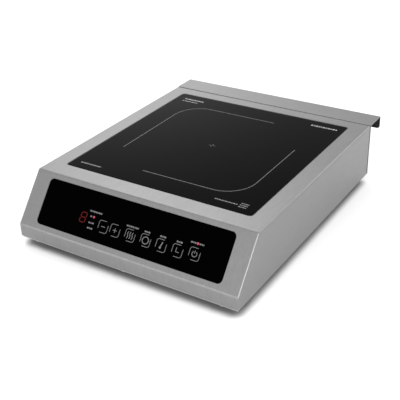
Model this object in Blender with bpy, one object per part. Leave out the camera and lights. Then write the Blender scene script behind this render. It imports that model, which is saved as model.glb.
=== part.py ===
"""Countertop induction hob in a folded steel case, modelled as its separate pieces.

Axes: +X to the right, +Y to the rear, +Z up. The origin is on the worktop, under the centre of
the object's box. Run it with: blender --background --python part.py
"""

import math

import bmesh
import bpy
from mathutils import Matrix, Vector

MM = 0.001

# ---------------------------------------------------------------- driving dimensions, in metres
BODY_WIDTH = 330 * MM
BODY_DEPTH = 383.3 * MM  # apron face to rear wall
HOOD_REACH = 36.7 * MM  # how far the rear hood hangs past the rear wall
TOTAL_HEIGHT = 90 * MM
BODY_BASE = 11.5 * MM  # lower rim of the case above the worktop
APRON_HEIGHT = 18.4 * MM
SLOPE_RUN = 48.4 * MM
HOOD_LIP = 19.4 * MM
LIP_CORNER = 4 * MM  # radius of the lip's lower corners
SHEET = 1.0 * MM
BEND = 2.0 * MM  # outer radius of a fold
BEND_STEPS = 3
HOOD_FOLD = 1.2 * MM  # outer radius of the fold from the rear wall into the hood
SEAM = 1.6 * MM  # between the case's rear edge and the rear wall
RIM = 12 * MM  # width of the inward rims along the case's lower and rear edges
REAR_LIP = 4 * MM  # what the top's rear edge folds down
GAP = 0.3 * MM  # between pieces that rest on each other
THROUGH = 5 * MM  # how far a cutter runs past the wall it cuts

FRONT = -(BODY_DEPTH + HOOD_REACH) / 2
REAR = FRONT + BODY_DEPTH
HOOD_EDGE = REAR + HOOD_REACH
HALF_WIDTH = BODY_WIDTH / 2
TOP = TOTAL_HEIGHT
APRON_TOP = BODY_BASE + APRON_HEIGHT
SLOPE_ANGLE = math.atan2(TOP - APRON_TOP, SLOPE_RUN)
SLOPE_LENGTH = math.hypot(TOP - APRON_TOP, SLOPE_RUN)
HOUSING_REAR = REAR - SHEET - SEAM

WINDOW_STEPS = 6  # segments of a corner of the glass, the control window and their cut-outs

# Cooking glass
GLASS_CENTRE_Y = 7.4 * MM
GLASS_CUT_HALF = Vector((140.7 * MM, 143.0 * MM))
GLASS_CORNER = 5.5 * MM
GLASS_THICKNESS = 4 * MM
GLASS_INSET = 1.6 * MM  # glass edge inside the cut-out edge
GLASS_TOP = TOP - 0.2 * MM

# Control window in the sloping front, measured up the slope from its lower fold
WINDOW_HALF = Vector((139.5 * MM, 31.1 * MM))
WINDOW_CENTRE = 39.1 * MM
WINDOW_CORNER = 6.5 * MM
WINDOW_GAP = 0.4 * MM
WINDOW_RECESS = 0.5 * MM
WINDOW_THICKNESS = 2.5 * MM
KEY_X = [x * MM for x in (-39.0, -20.4, 2.2, 25.2, 48.0, 71.0, 94.2)]
KEY_HEIGHT = 29.8 * MM
POWER_KEY_HEIGHT = 32.8 * MM
DIGIT_PLACE = Vector((-72.0, 34.2)) * MM
LED_PLACES = {"mode_led": Vector((-56.4, 38.0)) * MM, "standby_led": Vector((94.2, 45.2)) * MM}

# Base plate and feet
PLATE_THICKNESS = 1.2 * MM
PLATE_TOP = BODY_BASE - GAP
PLATE_BOTTOM = PLATE_TOP - PLATE_THICKNESS
PLATE_INSET = 2 * MM
FOOT_X = 135 * MM
FOOT_Y = (-180 * MM, 145 * MM)
FOOT_STEM = 3.6 * MM
PLATE_SLOT_PITCH = 11 * MM
PLATE_SLOT_HALF = 3 * MM
INTAKE_SLOTS = 9
FRONT_SLOTS = 6
FRONT_SLOT_PLACE = Vector((30, -130)) * MM
FRONT_SLOT_REACH = 20 * MM
SCREW_SHANK = 1.5 * MM
SCREW_HOLE = 1.9 * MM
SCREW_HEAD = 2.9 * MM
SCREW_HEAD_HEIGHT = 2.3 * MM
BASE_SCREWS = {
    "base_screw_front_left": (-140.5 * MM, FRONT + 5.5 * MM),
    "base_screw_front_middle": (0.0, FRONT + 5.5 * MM),
    "base_screw_front_right": (140.5 * MM, FRONT + 5.5 * MM),
    "base_screw_rear_middle": (0.0, REAR - 6.5 * MM),
}
REAR_SCREWS = {
    "rear_screw_left": (-HALF_WIDTH + 8 * MM, 50 * MM),
    "rear_screw_right": (HALF_WIDTH - 8 * MM, 50 * MM),
}

# Rear wall
VENT_COUNT = 16
VENT_PITCH = 11 * MM
VENT_FIRST_X = -140 * MM
VENT_HALF = Vector((2.2 * MM, 16 * MM))
VENT_HEIGHT = 46 * MM
GLAND_X = 118 * MM
GLAND_Z = 38 * MM
GLAND_SHANK = 8 * MM
CORD_BORE = 4.4 * MM

# Fan
FAN_CENTRE = Vector((-85 * MM, 40 * MM))
FAN_SIZE = 120 * MM
FAN_DEPTH = 25 * MM
FAN_BORE = 57.5 * MM
FAN_HUB = 19 * MM
FAN_TIP = 55.5 * MM
FAN_BLADES = 7
FAN_BASE = PLATE_TOP + GAP

# Induction coil stack, from the glass down
COIL_OUTER = 100 * MM
COIL_INNER = 30 * MM
MICA_TOP = 82.6 * MM
COIL_TOP = 81.2 * MM
COIL_THICKNESS = 3.2 * MM
CARRIER_TOP = COIL_TOP - COIL_THICKNESS - GAP
CARRIER_THICKNESS = 4 * MM
FERRITE_COUNT = 6
FERRITE_SIZE = Vector((58, 14, 5)) * MM
SPOKE_MIDDLE = 63 * MM  # from the coil's axis to the middle of a ferrite bar and of the arm over it
TRAY_TOP = 66 * MM
LEAD_HOLE = Vector((31.2, 18.0)) * MM  # in the tray, for the winding's inner end
LEAD_RADIUS = 1.6 * MM
SENSOR_RADIUS = 7 * MM
SPRING_BASE = 72.3 * MM
SPRING_TOP = 78.7 * MM

# Power board and what stands on it
BOARD_LOW = Vector((-5, -85)) * MM
BOARD_HIGH = Vector((155, 98)) * MM
BOARD_BOTTOM = 18 * MM
BOARD_THICKNESS = 1.6 * MM
BOARD_TOP = BOARD_BOTTOM + BOARD_THICKNESS
PARTS_BASE = BOARD_TOP + GAP
RIBBON_X = 20 * MM
RIBBON_HALF_WIDTH = 9 * MM
RIBBON_THICKNESS = 1 * MM


# ---------------------------------------------------------------- materials and object helpers
def finish(name, colour, roughness, metallic=0.0):
    """A plain Principled material."""
    material = bpy.data.materials.new(name)
    material.use_nodes = True
    shader = material.node_tree.nodes["Principled BSDF"]
    shader.inputs["Base Color"].default_value = (*colour, 1.0)
    shader.inputs["Roughness"].default_value = roughness
    shader.inputs["Metallic"].default_value = metallic
    return material


def make(name, mesh_data, material, location=(0, 0, 0), parent=None, rotation=None, smooth=False):
    """Turns a bmesh into a named object at its place."""
    bmesh.ops.recalc_face_normals(mesh_data, faces=mesh_data.faces)
    mesh = bpy.data.meshes.new(name)
    mesh_data.to_mesh(mesh)
    mesh_data.free()
    if smooth:
        mesh.shade_smooth()
        mesh.set_sharp_from_angle(angle=math.radians(35))
    piece = bpy.data.objects.new(name, mesh)
    if material is not None:
        mesh.materials.append(material)
    piece.location = location
    if rotation is not None:
        piece.rotation_euler = rotation
    piece.parent = parent
    bpy.context.scene.collection.objects.link(piece)
    return piece


def helper(name, mesh_data, **placed):
    """A cutter or a shape to join, which is no piece of its own."""
    piece = make(name, mesh_data, None, **placed)
    piece.hide_render = True
    piece.display_type = "WIRE"
    return piece


def combine(piece, other, operation="DIFFERENCE"):
    """A Boolean of the piece with a helper."""
    modifier = piece.modifiers.new(other.name, "BOOLEAN")
    modifier.operation = operation
    modifier.object = other
    modifier.use_self = operation == "UNION"


# ---------------------------------------------------------------- shapes
STAND_UP = Matrix(((0, 0, 1), (1, 0, 0), (0, 1, 0))).to_4x4()  # takes (y, z) outlines to the YZ plane
FACE_REAR = (-math.pi / 2, 0, 0)  # turns shapes along +Z to the rear, and their y down


def prism(outline, low, high, into=None):
    """A flat outline of (x, y) points, extruded from z low to z high, optionally added to a bmesh."""
    shape = into or bmesh.new()
    base = shape.faces.new([shape.verts.new((x, y, low)) for x, y in outline])
    grown = bmesh.ops.extrude_face_region(shape, geom=[base])["geom"]
    upper = [v for v in grown if isinstance(v, bmesh.types.BMVert)]
    bmesh.ops.translate(shape, vec=(0, 0, high - low), verts=upper)
    return shape


def box(size, centre=(0, 0, 0), into=None):
    """A box of that size about its centre, optionally added to a bmesh."""
    shape = into or bmesh.new()
    place = Matrix.Translation(centre) @ Matrix.Diagonal((*size, 1))
    bmesh.ops.create_cube(shape, size=1, matrix=place)
    return shape


def mirrored_boxes(low, high):
    """A box between two corners on the right, and the same on the left."""
    low, high = Vector(low), Vector(high)
    middle = (low + high) / 2
    pair = bmesh.new()
    for side in (-1, 1):
        box(high - low, (side * middle.x, middle.y, middle.z), pair)
    return pair


def box_between(low, high):
    """A box between two corners."""
    low, high = Vector(low), Vector(high)
    return box(high - low, (low + high) / 2)


def arc(centre, radius, start, end, steps):
    """Points along an arc, with its angles in degrees."""
    angles = [math.radians(start + (end - start) * i / steps) for i in range(steps + 1)]
    return [(centre[0] + radius * math.cos(a), centre[1] + radius * math.sin(a)) for a in angles]


def circle(radius, steps, centre=(0, 0)):
    """Points round a circle."""
    return arc(centre, radius, 0, 360, steps)[:-1]


def rounded_rectangle(half_x, half_y, radius, steps=4, centre=(0, 0)):
    """Points round a rectangle with arcs at its corners."""
    points = []
    for quarter, (sign_x, sign_y) in enumerate(((1, 1), (-1, 1), (-1, -1), (1, -1))):
        corner = (centre[0] + sign_x * (half_x - radius), centre[1] + sign_y * (half_y - radius))
        for i in range(steps + 1):
            angle = math.pi / 2 * (quarter + i / steps)
            points.append((corner[0] + radius * math.cos(angle), corner[1] + radius * math.sin(angle)))
    return points


def turned(profile, steps=24, ring=False):
    """A profile of (radius, z) points spun about Z. A ring's profile closes on itself."""
    shape = bmesh.new()
    points = [shape.verts.new((radius, 0, z)) for radius, z in profile]
    pairs = list(zip(points, points[1:] + points[:1]))
    edges = [shape.edges.new(pair) for pair in (pairs if ring else pairs[:-1])]
    bmesh.ops.spin(
        shape, geom=points + edges, axis=(0, 0, 1), cent=(0, 0, 0), angle=2 * math.pi, steps=steps,
        use_merge=True,
    )
    bmesh.ops.remove_doubles(shape, verts=shape.verts, dist=1e-6)
    return shape


def frame_ring(half, corner, profile, steps=4):
    """A closed frame whose section, of (offset outward, z) points, runs round a rounded rectangle."""
    shape = bmesh.new()
    least_corner = 0.5 * MM
    loops = []
    for offset, z in profile:
        outline = rounded_rectangle(
            half[0] + offset, half[1] + offset, max(corner + offset, least_corner), steps
        )
        loops.append([shape.verts.new((x, y, z)) for x, y in outline])
    for loop, following in zip(loops, loops[1:] + loops[:1]):
        for i in range(len(loop)):
            j = (i + 1) % len(loop)
            shape.faces.new((loop[i], loop[j], following[j], following[i]))
    return shape


def strip(path, thickness, half_width):
    """A sheet of even thickness that follows a path of (y, z) points and is as wide as 2 half_width."""
    left, right = [], []
    for i, point in enumerate(path):
        before = Vector(path[max(i - 1, 0)])
        after = Vector(path[min(i + 1, len(path) - 1)])
        along = (after - before).normalized()
        across = Vector((-along.y, along.x)) * thickness / 2
        left.append(Vector(point) + across)
        right.append(Vector(point) - across)
    shape = prism([(p.x, p.y) for p in left + right[::-1]], -half_width, half_width)
    bmesh.ops.transform(shape, matrix=STAND_UP, verts=shape.verts)
    return shape


def wire(name, points, radius, material):
    """A round lead along a route of hand-placed points."""
    curve = bpy.data.curves.new(name, "CURVE")
    curve.dimensions = "3D"
    curve.bevel_depth = radius
    curve.bevel_resolution = 2
    curve.use_fill_caps = True
    spline = curve.splines.new("POLY")
    spline.points.add(len(points) - 1)
    for target, point in zip(spline.points, points):
        target.co = (*point, 1)
    curve.materials.append(material)
    piece = bpy.data.objects.new(name, curve)
    bpy.context.scene.collection.objects.link(piece)
    return piece


def smooth_route(corners, pieces=6):
    """Points of a Catmull-Rom curve through the corners."""
    ends = [2 * corners[0] - corners[1], *corners, 2 * corners[-1] - corners[-2]]
    points = []
    for a, b, c, d in zip(ends, ends[1:], ends[2:], ends[3:]):
        for i in range(pieces):
            t = i / pieces
            points.append(
                0.5 * (2 * b + (c - a) * t + (2 * a - 5 * b + 4 * c - d) * t**2
                       + (3 * b - a - 3 * c + d) * t**3)
            )
    return points + [corners[-1]]


# ---------------------------------------------------------------- case
def case_block(inset):
    """The wedge that the case fills, moved in by inset on every face and rounded at its folds."""
    slant = math.tan(SLOPE_ANGLE)
    drop = inset / math.cos(SLOPE_ANGLE)
    side = [
        (FRONT + inset, BODY_BASE + inset),
        (FRONT + inset, APRON_TOP + inset * slant - drop),
        (FRONT + (TOP - inset - APRON_TOP + drop) / slant, TOP - inset),
        (HOUSING_REAR - inset, TOP - inset),
        (HOUSING_REAR - inset, BODY_BASE + inset),
    ]
    shape = prism(side, -HALF_WIDTH + inset, HALF_WIDTH - inset)
    bmesh.ops.transform(shape, matrix=STAND_UP, verts=shape.verts)
    bmesh.ops.recalc_face_normals(shape, faces=shape.faces)

    def at_rear_foot(vertex):
        reach = vertex.co - Vector((vertex.co.x, HOUSING_REAR - inset, BODY_BASE + inset))
        return reach.length < MM / 10

    folds = [edge for edge in shape.edges if not all(at_rear_foot(v) for v in edge.verts)]
    bmesh.ops.bevel(
        shape, geom=folds, offset=BEND - inset, segments=BEND_STEPS, affect="EDGES", profile=0.5
    )
    return shape


def slope_frame():
    """An empty on the slope's lower fold: x along it, y up the slope, z out of it."""
    empty = bpy.data.objects.new("slope_frame", None)
    empty.location = (0, FRONT, APRON_TOP)
    empty.rotation_euler = (SLOPE_ANGLE, 0, 0)
    bpy.context.scene.collection.objects.link(empty)
    return empty


def screw_holes(height):
    """One cutter for the base screws' holes through a sheet at that height."""
    shape = bmesh.new()
    for place in BASE_SCREWS.values():
        prism(circle(SCREW_HOLE, 12, place), height - THROUGH, height + THROUGH, shape)
    return shape


def rear_screw_holes(into=None):
    """One cutter for the rear screws' holes, to be turned to the rear."""
    shape = into or bmesh.new()
    for x, z in REAR_SCREWS.values():
        prism(circle(SCREW_HOLE, 12, (x, -z)), -THROUGH, THROUGH, shape)
    return shape


def housing(steel, slope):
    """The folded case: top, slope, apron and sides, with inward rims below and behind."""
    piece = make("top_housing", case_block(0), steel)
    combine(piece, helper("case_cavity", case_block(SHEET)))
    inner = HALF_WIDTH - RIM
    below = box_between((-inner, FRONT + RIM, BODY_BASE - THROUGH),
                        (inner, HOUSING_REAR + THROUGH, BODY_BASE + THROUGH))
    combine(piece, helper("underside_opening", below))
    behind = box_between((-inner, HOUSING_REAR - THROUGH, BODY_BASE - THROUGH),
                         (inner, HOUSING_REAR + THROUGH, TOP - SHEET - REAR_LIP))
    combine(piece, helper("rear_opening", behind))
    glass_cut = prism(rounded_rectangle(*GLASS_CUT_HALF, GLASS_CORNER, WINDOW_STEPS), -THROUGH, THROUGH)
    combine(piece, helper("glass_opening", glass_cut, location=(0, GLASS_CENTRE_Y, TOP)))
    window_cut = prism(rounded_rectangle(*WINDOW_HALF, WINDOW_CORNER, WINDOW_STEPS), -THROUGH, THROUGH)
    combine(piece, helper("window_opening", window_cut, location=(0, WINDOW_CENTRE, 0), parent=slope))
    combine(piece, helper("rim_holes", screw_holes(BODY_BASE)))
    combine(piece, helper("rear_rim_holes", rear_screw_holes(), location=(0, HOUSING_REAR, 0),
                          rotation=FACE_REAR))


def rear_wall(steel):
    """Rear wall, folded back at its top into the hood and down again into the hood's lip."""
    half_sheet = SHEET / 2
    wall_y = REAR - half_sheet
    hood_z = TOP - half_sheet
    lip_y = HOOD_EDGE - half_sheet
    base_z = BODY_BASE + half_sheet
    radius = BEND - half_sheet
    tight = HOOD_FOLD - half_sheet
    steps = 4
    path = [(REAR - RIM, base_z)]
    path += arc((wall_y - radius, base_z + radius), radius, -90, 0, steps)
    path += arc((wall_y + tight, hood_z - tight), tight, 180, 90, steps)
    path += arc((lip_y - radius, hood_z - radius), radius, 90, 0, steps)
    path.append((lip_y, TOP - HOOD_LIP))
    piece = make("rear_panel", strip(path, SHEET, HALF_WIDTH), steel)

    # The case's inward rims take up the corners of the wall's lower rim.
    corner_top = BODY_BASE + BEND + SHEET
    corners = mirrored_boxes((HALF_WIDTH - RIM - SHEET, REAR - RIM - THROUGH, BODY_BASE - THROUGH),
                             (HALF_WIDTH + THROUGH, REAR - 0.8 * SHEET, corner_top))
    combine(piece, helper("rear_corner_cuts", corners))

    # Short hems close the seam at the sides.
    hems = mirrored_boxes((HALF_WIDTH - SHEET, HOUSING_REAR + GAP, corner_top),
                          (HALF_WIDTH, wall_y, TOP - BEND))
    combine(piece, helper("rear_wall_hems", hems), "UNION")

    lip_end = TOP - HOOD_LIP
    bend_x, bend_z = HALF_WIDTH - LIP_CORNER, lip_end + LIP_CORNER
    outline = arc((bend_x, bend_z), LIP_CORNER, 0, -90, steps)
    outline += [(bend_x, lip_end - THROUGH), (HALF_WIDTH + THROUGH, lip_end - THROUGH)]
    outline.append((HALF_WIDTH + THROUGH, bend_z))
    lip_cuts = bmesh.new()
    for side in (-1, 1):
        prism([(side * x, -z) for x, z in outline], -THROUGH, THROUGH, lip_cuts)
    combine(piece, helper("lip_corner_cuts", lip_cuts, location=(0, HOOD_EDGE, 0), rotation=FACE_REAR))

    openings = bmesh.new()
    for i in range(VENT_COUNT):
        centre = (VENT_FIRST_X + VENT_PITCH * i, -VENT_HEIGHT)
        prism(rounded_rectangle(*VENT_HALF, VENT_HALF.x, 3, centre), -THROUGH, THROUGH, openings)
    prism(circle(GLAND_SHANK + GAP, 20, (GLAND_X, -GLAND_Z)), -THROUGH, THROUGH, openings)
    rear_screw_holes(openings)
    combine(piece, helper("rear_wall_openings", openings, location=(0, REAR, 0), rotation=FACE_REAR))
    combine(piece, helper("rear_rim_screw_holes", screw_holes(BODY_BASE)))


def base_plate(steel):
    """Flat plate under the rims, with intake slots below the fan, foot holes and board studs."""
    half_x = HALF_WIDTH - PLATE_INSET
    plate = box_between((-half_x, FRONT + PLATE_INSET, PLATE_BOTTOM),
                        (half_x, REAR - PLATE_INSET, PLATE_TOP))
    piece = make("base_plate", plate, steel)
    cuts = bmesh.new()

    def pierce(outline):
        prism(outline, PLATE_BOTTOM - THROUGH, PLATE_TOP + THROUGH, cuts)

    for i in range(INTAKE_SLOTS):
        offset = (i - (INTAKE_SLOTS - 1) / 2) * PLATE_SLOT_PITCH
        reach = math.sqrt((FAN_BORE - 3 * MM) ** 2 - offset**2)
        centre = (FAN_CENTRE.x + offset, FAN_CENTRE.y)
        pierce(rounded_rectangle(PLATE_SLOT_HALF, reach, PLATE_SLOT_HALF, 2, centre))
    for i in range(FRONT_SLOTS):
        centre = (FRONT_SLOT_PLACE.x + PLATE_SLOT_PITCH * i, FRONT_SLOT_PLACE.y)
        pierce(rounded_rectangle(PLATE_SLOT_HALF, FRONT_SLOT_REACH, PLATE_SLOT_HALF, 2, centre))
    for x in (-FOOT_X, FOOT_X):
        for y in FOOT_Y:
            pierce(circle(FOOT_STEM + GAP, 16, (x, y)))
    combine(piece, helper("base_plate_cuts", cuts))
    combine(piece, helper("base_plate_screw_holes", screw_holes(PLATE_BOTTOM)))

    studs = bmesh.new()
    inset = 7 * MM
    stud_radius = 3 * MM
    for x in (BOARD_LOW.x + inset, BOARD_HIGH.x - inset):
        for y in (BOARD_LOW.y + inset, BOARD_HIGH.y - inset):
            outline = circle(stud_radius, 12, (x, y))
            prism(outline, PLATE_TOP - PLATE_THICKNESS / 2, BOARD_BOTTOM - GAP, studs)
    combine(piece, helper("board_studs", studs), "UNION")


def feet(rubber):
    """Push-in rubber feet: a tapered pad, a stem through the plate and a barb above it."""
    seat = PLATE_BOTTOM - GAP
    above = PLATE_TOP + GAP
    profile = [
        (0, 0), (12.4 * MM, 0), (13 * MM, 0.8 * MM), (11.6 * MM, seat - 0.6 * MM), (11 * MM, seat),
        (FOOT_STEM, seat), (FOOT_STEM, above), (5 * MM, above + 0.4 * MM), (FOOT_STEM, above + 2.6 * MM),
        (0, above + 2.6 * MM),
    ]
    for end, y in zip(("front", "rear"), FOOT_Y):
        for side, x in (("left", -FOOT_X), ("right", FOOT_X)):
            make(f"foot_{end}_{side}", turned(profile, 18), rubber, location=(x, y, 0), smooth=True)


def pan_screw(shank_length):
    """A pan-head screw along +Z, with its head below z 0."""
    return turned([
        (0, -SCREW_HEAD_HEIGHT), (SCREW_HEAD * 0.62, -SCREW_HEAD_HEIGHT),
        (SCREW_HEAD * 0.92, -SCREW_HEAD_HEIGHT * 0.7), (SCREW_HEAD, -SCREW_HEAD_HEIGHT * 0.3),
        (SCREW_HEAD, 0), (SCREW_SHANK, 0), (SCREW_SHANK, shank_length - MM),
        (SCREW_SHANK / 2, shank_length), (0, shank_length),
    ], 10)


def screws(steel):
    """The screws of the base plate and the rear wall."""
    for name, (x, y) in BASE_SCREWS.items():
        make(name, pan_screw(8 * MM), steel, location=(x, y, PLATE_BOTTOM - GAP), smooth=True)
    for name, (x, z) in REAR_SCREWS.items():
        make(name, pan_screw(7 * MM), steel, location=(x, REAR + GAP, z),
             rotation=(math.pi / 2, 0, 0), smooth=True)


def gland(plastic, rubber):
    """Cable gland in the rear wall: body, lock nut inside, dome nut and sealing insert outside."""
    at_wall = {"location": (GLAND_X, REAR, GLAND_Z), "rotation": FACE_REAR}
    flange = 11.5 * MM
    nut_flange = 12 * MM
    bore = 6 * MM
    piece = make("gland_body", prism(circle(flange, 6), GAP, 5 * MM), plastic, **at_wall)
    shank = turned([(0, -9 * MM), (GLAND_SHANK, -9 * MM), (GLAND_SHANK, 2 * MM), (9.6 * MM, 2 * MM),
                    (9.6 * MM, 9 * MM), (0, 9 * MM)], 20)
    combine(piece, helper("gland_shank", shank, **at_wall), "UNION")
    combine(piece, helper("gland_bore", prism(circle(bore, 16), -14 * MM, 14 * MM), **at_wall))
    nut = make("gland_lock_nut", prism(circle(nut_flange, 6), -5 * MM, -SHEET - GAP), plastic, **at_wall)
    nut_bore = prism(circle(GLAND_SHANK + GAP, 20), -8 * MM, MM)
    combine(nut, helper("lock_nut_bore", nut_bore, **at_wall))
    dome = turned([
        (10 * MM, 5.4 * MM), (nut_flange, 5.4 * MM), (nut_flange, 12 * MM), (11 * MM, 15 * MM),
        (8.6 * MM, 17 * MM), (7.2 * MM, 17 * MM), (7.2 * MM, 9.5 * MM), (10 * MM, 9.5 * MM),
    ], 20, ring=True)
    make("gland_dome_nut", dome, plastic, smooth=True, **at_wall)
    insert = turned([
        (CORD_BORE, -6 * MM), (5.6 * MM, -6 * MM), (5.6 * MM, 9.4 * MM), (6.8 * MM, 9.4 * MM),
        (6.8 * MM, 16 * MM), (CORD_BORE + MM, 16 * MM), (CORD_BORE, 15 * MM),
    ], 16, ring=True)
    make("gland_insert", insert, rubber, smooth=True, **at_wall)


# ---------------------------------------------------------------- cooking glass
def glass_set(glass, rubber, steel):
    """The glass plate, the silicone it lies in and the stepped frame under it."""
    place = (0, GLASS_CENTRE_Y, 0)
    glass_half = GLASS_CUT_HALF - Vector((GLASS_INSET, GLASS_INSET))
    glass_bottom = GLASS_TOP - GLASS_THICKNESS
    outline = rounded_rectangle(*glass_half, GLASS_CORNER - GLASS_INSET, WINDOW_STEPS)
    plate = prism(outline, glass_bottom, GLASS_TOP)
    make("glass_top", plate, glass, location=place)
    ledge = 9 * MM
    seal_wall = 1.0 * MM
    seal_top = GLASS_TOP - 0.4 * MM
    bed_top = glass_bottom - GAP
    bed_bottom = bed_top - MM
    seal = [
        (-ledge, bed_bottom), (-GAP, bed_bottom), (-GAP, seal_top), (-GAP - seal_wall, seal_top),
        (-GAP - seal_wall, bed_top), (-ledge, bed_top),
    ]
    make("glass_seal", frame_ring(GLASS_CUT_HALF, GLASS_CORNER, seal), rubber, location=place)
    ledge_top = bed_bottom - GAP
    ledge_bottom = ledge_top - SHEET
    flange_top = TOP - SHEET - GAP
    flange = 10 * MM
    support = [
        (-ledge, ledge_bottom), (SHEET, ledge_bottom), (SHEET, flange_top - SHEET),
        (flange, flange_top - SHEET), (flange, flange_top), (0, flange_top), (0, ledge_top),
        (-ledge, ledge_top),
    ]
    make("glass_support_frame", frame_ring(GLASS_CUT_HALF, GLASS_CORNER, support), steel, location=place)


# ---------------------------------------------------------------- control panel
def control_set(slope, glass, plastic, board_green, foam, red, dark):
    """Everything behind the control window, placed in the slope's own frame."""
    middle = (0, WINDOW_CENTRE, 0)
    pane_half = WINDOW_HALF - Vector((WINDOW_GAP, WINDOW_GAP))
    pane_back = -WINDOW_RECESS - WINDOW_THICKNESS
    outline = rounded_rectangle(*pane_half, WINDOW_CORNER - WINDOW_GAP, WINDOW_STEPS)
    make("control_glass", prism(outline, pane_back, -WINDOW_RECESS), glass, location=middle, parent=slope)

    bracket_sheet = 1.2 * MM
    bracket_inner, bracket_outer = -6 * MM, 4 * MM  # from the window's edge
    frame_top = pane_back - GAP
    frame_bottom = frame_top - bracket_sheet
    board_top = -10.4 * MM
    board_thickness = 1.6 * MM
    section = [
        (bracket_inner, frame_bottom), (bracket_outer, frame_bottom), (bracket_outer, frame_top),
        (bracket_inner, frame_top),
    ]
    bracket = make("control_bracket", frame_ring(WINDOW_HALF, WINDOW_CORNER, section), plastic,
                   location=middle, parent=slope)
    board_half = Vector((100, 27)) * MM
    board_x = 12 * MM
    bar = Vector((6 * MM, 2 * WINDOW_HALF.y - 4 * MM, bracket_sheet))
    bar_z = (frame_top + frame_bottom) / 2 - 0.1 * MM
    stem_radius = 2.5 * MM
    stem_y = board_half.y - 5 * MM
    bars = bmesh.new()
    stems = bmesh.new()
    for side in (-1, 1):
        x = board_x + side * (board_half.x - 4 * MM)
        box(bar, (x, 0, bar_z), bars)
        for y in (-stem_y, stem_y):
            prism(circle(stem_radius, 10, (x, y)), board_top + GAP, frame_top - 0.4 * MM, stems)
    combine(bracket, helper("bracket_bars", bars, location=middle, parent=slope), "UNION")
    combine(bracket, helper("bracket_stems", stems, location=middle, parent=slope), "UNION")

    board = prism(rounded_rectangle(*board_half, MM, 2), board_top - board_thickness, board_top)
    make("control_board", board, board_green, location=(board_x, WINDOW_CENTRE, 0), parent=slope)

    parts_low = board_top + GAP
    pad_base, pad_head = 5 * MM, 4 * MM
    pad = turned([
        (0, parts_low), (pad_base, parts_low), (pad_base, parts_low + MM), (pad_head, parts_low + MM),
        (pad_head, frame_top - GAP), (0, frame_top - GAP),
    ], 14)
    heights = [KEY_HEIGHT] * (len(KEY_X) - 1) + [POWER_KEY_HEIGHT]
    for i, (x, height) in enumerate(zip(KEY_X, heights), start=1):
        make(f"touch_pad_{i}", pad.copy(), foam, location=(x, height, 0), parent=slope, smooth=True)
    pad.free()

    digit_size = Vector((12.6, 19, 6)) * MM
    digit = box(digit_size, (0, 0, parts_low + digit_size.z / 2))
    make("digit_display", digit, dark, location=(*DIGIT_PLACE, 0), parent=slope)
    lamp_radius = 1.5 * MM
    lamp = turned([
        (0, parts_low), (lamp_radius, parts_low), (lamp_radius, parts_low + 4 * MM),
        (0.9 * MM, parts_low + 5 * MM), (0, parts_low + 5.3 * MM),
    ], 10)
    for name, place in LED_PLACES.items():
        make(name, lamp.copy(), red, location=(*place, 0), parent=slope, smooth=True)
    lamp.free()


def ribbon(grey):
    """Flat cable from the control board to the front edge of the power board."""
    route = [Vector(p) * MM for p in (
        (-178, 34), (-170, 27), (-155, 22.5), (-130, 21.5), (-110, 22), (-95, 25.5), (-84, 26), (-78, 21),
    )]
    path = [(p.x, p.y) for p in smooth_route(route, 3)]
    make("ribbon_cable", strip(path, RIBBON_THICKNESS, RIBBON_HALF_WIDTH), grey, location=(RIBBON_X, 0, 0))


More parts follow.
